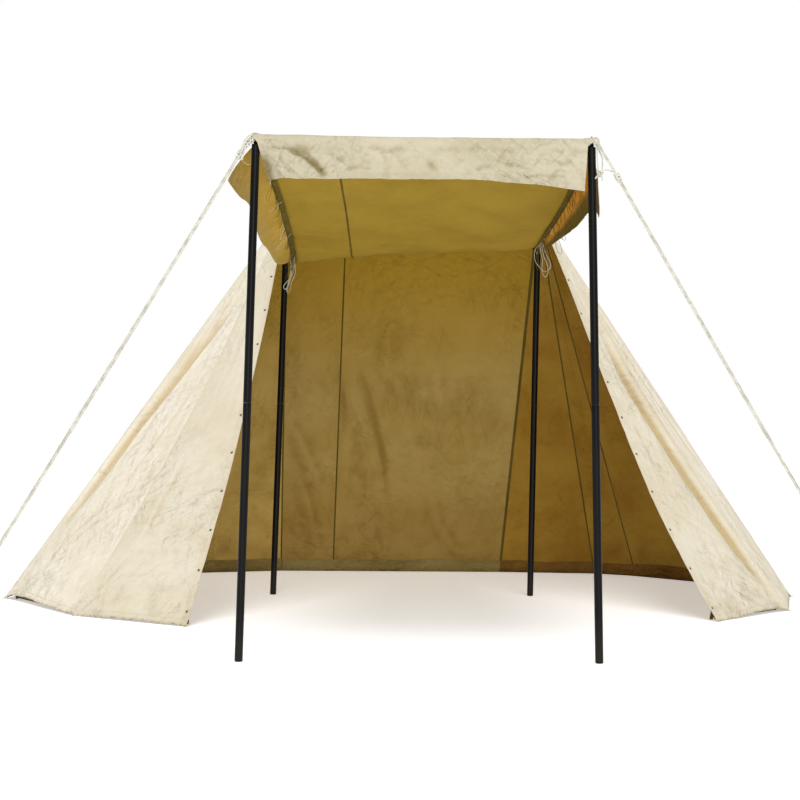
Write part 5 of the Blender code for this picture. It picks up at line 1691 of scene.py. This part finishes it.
# %% Lay the four hanging cords
CORD_RADIUS = 0.0025
CORD_ROUTES = {
    "lacing_cord_right_wide": [
        (904, 965, 2650.8), (901, 965, 2640), (890, 965, 2632), (878, 966, 2620), (870, 966, 2600),
        (869, 967, 2571), (873, 967, 2545), (885, 967, 2523), (904, 968, 2503), (925, 968, 2482),
        (947, 968, 2472), (968, 969, 2480), (982, 969, 2496), (985, 970, 2518), (979, 970, 2539),
        (965, 970, 2562), (950, 971, 2587), (939, 971, 2613), (932, 972, 2638), (930, 972, 2652.8)],
    "lacing_cord_right_narrow": [
        (909, 1000, 2653.6), (907, 1001, 2626), (910, 1001, 2597), (918, 1002, 2571), (924, 1003, 2546),
        (923, 1003, 2517), (921, 1004, 2484), (924, 1004, 2459), (933, 1005, 2439), (944, 1006, 2431),
        (957, 1006, 2440), (964, 1007, 2460), (963, 1008, 2482), (957, 1008, 2508), (948, 1009, 2533),
        (937, 1009, 2557), (927, 1010, 2581), (921, 1011, 2610), (918, 1011, 2635), (918, 1012, 2655.9)],
    "lacing_cord_left_wide": [
        (-879, 965, 2561), (-879, 965, 2530), (-878, 965, 2498), (-879, 966, 2469), (-886, 966, 2440),
        (-902, 967, 2414), (-920, 967, 2392), (-938, 967, 2371), (-951, 968, 2351), (-950, 968, 2337),
        (-937, 969, 2329), (-926, 969, 2342), (-919, 970, 2363), (-913, 970, 2387), (-906, 970, 2414),
        (-902, 971, 2443), (-900, 971, 2472), (-900, 972, 2501), (-900, 972, 2530), (-899, 972, 2560.5)],
    "lacing_cord_left_narrow": [
        (-890, 1000, 2563.2), (-889, 1000, 2528), (-889, 1001, 2492), (-890, 1001, 2459), (-894, 1002, 2426),
        (-902, 1003, 2394), (-912, 1004, 2362), (-921, 1004, 2335), (-925, 1005, 2317), (-920, 1006, 2303),
        (-909, 1006, 2308), (-900, 1007, 2328), (-896, 1008, 2353), (-890, 1008, 2379), (-880, 1009, 2403),
        (-869, 1010, 2429), (-865, 1011, 2458), (-866, 1011, 2491), (-868, 1012, 2528), (-870, 1012, 2566.5)]}


def under_strip(side, x, forward):
    grid = strip_grids[side]
    row = int(np.argmin(np.abs(RIDGE_Y - grid[:, 4, 1] - forward)))
    order = np.argsort(grid[row, :, 0])
    return float(np.interp(x, grid[row, order, 0], grid[row, order, 2]))


def hang_from_strip(route):
    route = [[c / 1000 for c in point] for point in route]
    side = 1 if route[0][0] > 0 else -1
    rises = [under_strip(side, x, forward) - 0.002 - z for x, forward, z in (route[0], route[-1])]
    lowest = min(z for _, _, z in route)
    hung = []
    for k, (x, forward, z) in enumerate(route):
        share = k / (len(route) - 1)
        top = route[0][2] + (route[-1][2] - route[0][2]) * share
        rise = rises[0] + (rises[1] - rises[0]) * share
        hung.append((x, RIDGE_Y - forward, z + rise * (z - lowest) / (top - lowest)))
    return hung


for name, route in CORD_ROUTES.items():
    line = smooth_route(hang_from_strip(route), 90)
    cord = lay_rope(name + "_loop", [line], CORD_RADIUS, lobe=0.1, lay=0.018, step=0.003, material=pale_cord,
                    nodes=[name])
    print(name, "is", round(path_length(line), 3), "m long")

# %% [markdown]
# Shorter loops of thin cord stay threaded along both strips. Most are stained olive like the strip,
# and a few are pale. They are grown with the rope tree, as plain thin cord.

# %% Short loops along the strips
def jitter_of(k, seed):
    return [float(soft_noise(np.array([k * 1.37 + 0.31]), c * 2.11 + 0.17, seed)[0]) for c in range(5)]


def short_loops(side, count, first, last, seed, longest, spread, swing):
    lines = []
    for k in range(count):
        jitter = jitter_of(k, seed)
        forward = first + (last - first) * (k + 0.5 + 0.7 * jitter[0]) / count
        edge, apart = float(canopy_edge(side, forward)), spread * (1 + jitter[3])
        drop = longest * (0.62 + 0.7 * jitter[4])
        top = []
        for share, f in ((0.15 + 0.2 * jitter[1], forward - apart / 2),
                         (0.85 + 0.2 * jitter[2], forward + apart / 2)):
            x = side * (edge - 0.004 - 0.034 * share)
            top.append(np.array([x, RIDGE_Y - f, under_strip(side, x, f) - 0.002]))
        sway = np.array([side * swing * drop * (jitter[1] + 0.4), -0.35 * drop * jitter[2], 0.0])
        points = []
        for t in np.linspace(0, 1, 26):
            fall = sin(pi * t) ** 0.8
            belly = 0.16 * drop * sin(2 * pi * t)
            points.append(top[0] * (1 - t) + top[1] * t + sway * fall
                          + np.array([-side * belly * 0.6, belly * 0.4, -drop * fall]))
        lines.append(points)
    return lines


LOOP_SETS = {
    "olive_left": ((-1, 26, 0.35, 2.85, 301, 0.1, 0.06, 0.5), 0.0013, olive_cord),
    "olive_right": ((1, 18, 0.45, 2.95, 302, 0.19, 0.1, 0.5), 0.0015, olive_cord),
    "pale_left": ((-1, 5, 0.8, 2.9, 303, 0.11, 0.05, 1.3), 0.0012, pale_cord),
    "pale_right": ((1, 4, 0.5, 1.6, 304, 0.06, 0.03, 0.3), 0.0012, pale_cord),
    "tangle_left": ((-1, 18, 0.8, 1.22, 305, 0.15, 0.05, 0.5), 0.0015, olive_cord),
    "tangle_right": ((1, 7, 0.8, 1.16, 306, 0.11, 0.04, 0.3), 0.0015, olive_cord)}
report("short loops", *[
    lay_rope("lacing_" + label, short_loops(*facts), thin, 0.0, step=0.009, material=finish, sides=6)
    for label, (facts, thin, finish) in LOOP_SETS.items()])

# %% [markdown]
# ## Peg loops at the hem
# A small loop of rope is sewn in at the foot of every seam, for a peg.

# %% Sew the peg loops
HALF_LOOP = [(-0.012, 0.01, 0.03), (-0.004, 0.013, 0.014), (0.016, 0.014, 0.0045), (0.034, 0.008, 0.0042)]


def peg_loop(wall, at_end):
    foot = wall.middle(np.array([1.0 if at_end else 0.0]), np.array([0.992]))[0][0]
    away = unit([wall.outward[0], wall.outward[1], 0.0])
    across = np.array([-away[1], away[0], 0.0])
    shape = [(a, -b, z) for a, b, z in HALF_LOOP] + [(0.04, 0.0, 0.0042)] + HALF_LOOP[::-1]
    base = np.array([foot[0], foot[1], 0.0])
    return smooth_route([base + away * a + across * b + RAISED * z for a, b, z in shape], 40)


feet = [(f"door_flap_{label}_front", False) for label in ENDS]
feet += [(name, True) for name in [*GORES_LEFT, *GORES_RIGHT, "back_wall_narrow"]]
lay_rope("peg_loops", [peg_loop(walls[name], at_end) for name, at_end in feet], 0.0032, lay=0.022, step=0.003)
print("peg loops:", len(feet))

# %% [markdown]
# ## Floor, light and the end of the scene
# The photograph's ground is pure white, so the floor is pale and glows a little. A wide sun high in
# front gives the folds their shape, a low one fills the opening, and a weak even sky does the rest.

# %% Floor and lights
WHITE = (1.0, 1.0, 1.0, 1.0)
FLOOR_GLOW, SKY_LIGHT = 0.42, 0.44


def make_floor():
    bm = bmesh.new()
    bmesh.ops.create_circle(bm, cap_ends=True, segments=96, radius=70.0)
    mesh = bpy.data.meshes.new("floor")
    bm.to_mesh(mesh)
    bm.free()
    paint = Paint("pale_floor")
    tone = paint.mix(paint.noise(paint.place(), 0.8, 3.0), shade(252, 252, 252), shade(250, 250, 250))
    mesh.materials.append(paint.finish(tone, 0.9, Emission_Color=WHITE, Emission_Strength=FLOOR_GLOW))
    placed("floor", mesh)


def soft_sun(name, travels, strength):
    data = bpy.data.lights.new(name, "SUN")
    data.energy, data.angle = strength, radians(30)
    placed(name, data).rotation_euler = Vector(travels).to_track_quat("-Z", "Y").to_euler()


make_floor()
soft_sun("high_sun", (0.06, 0.33, -0.94), 1.55)
soft_sun("low_fill", (-0.1, 0.97, -0.18), 0.92)
world = bpy.data.worlds.new("sky")
bpy.context.scene.world = world
world.use_nodes = True
seen_directly = add_node(world.node_tree, "ShaderNodeLightPath", {}, None).outputs["Is Camera Ray"]
strength = add_node(world.node_tree, "ShaderNodeMix", {}, {0: seen_directly, 2: SKY_LIGHT, 3: 1.0}).outputs[0]
fill_inputs(world.node_tree, world.node_tree.nodes["Background"], {"Color": WHITE, "Strength": strength})
bpy.context.scene.view_settings.view_transform = "Standard"
print("lights ready")

sewn_on = {name: [strip] + eyelet_pieces.get(name, []) for name, strip in seam_strips.items()}
sewn_on["back_wall_wide"] = [ridge_tape] + stitch_pieces
[canopy_seam] + corner_tabs

made = [item for item in bpy.context.scene.objects if item.type == "MESH" and not item.hide_render]
print("triangles in all:", sum(map(triangle_count, made)), "largest:",
      sorted(((triangle_count(item), item.name) for item in made), reverse=True)[:6])
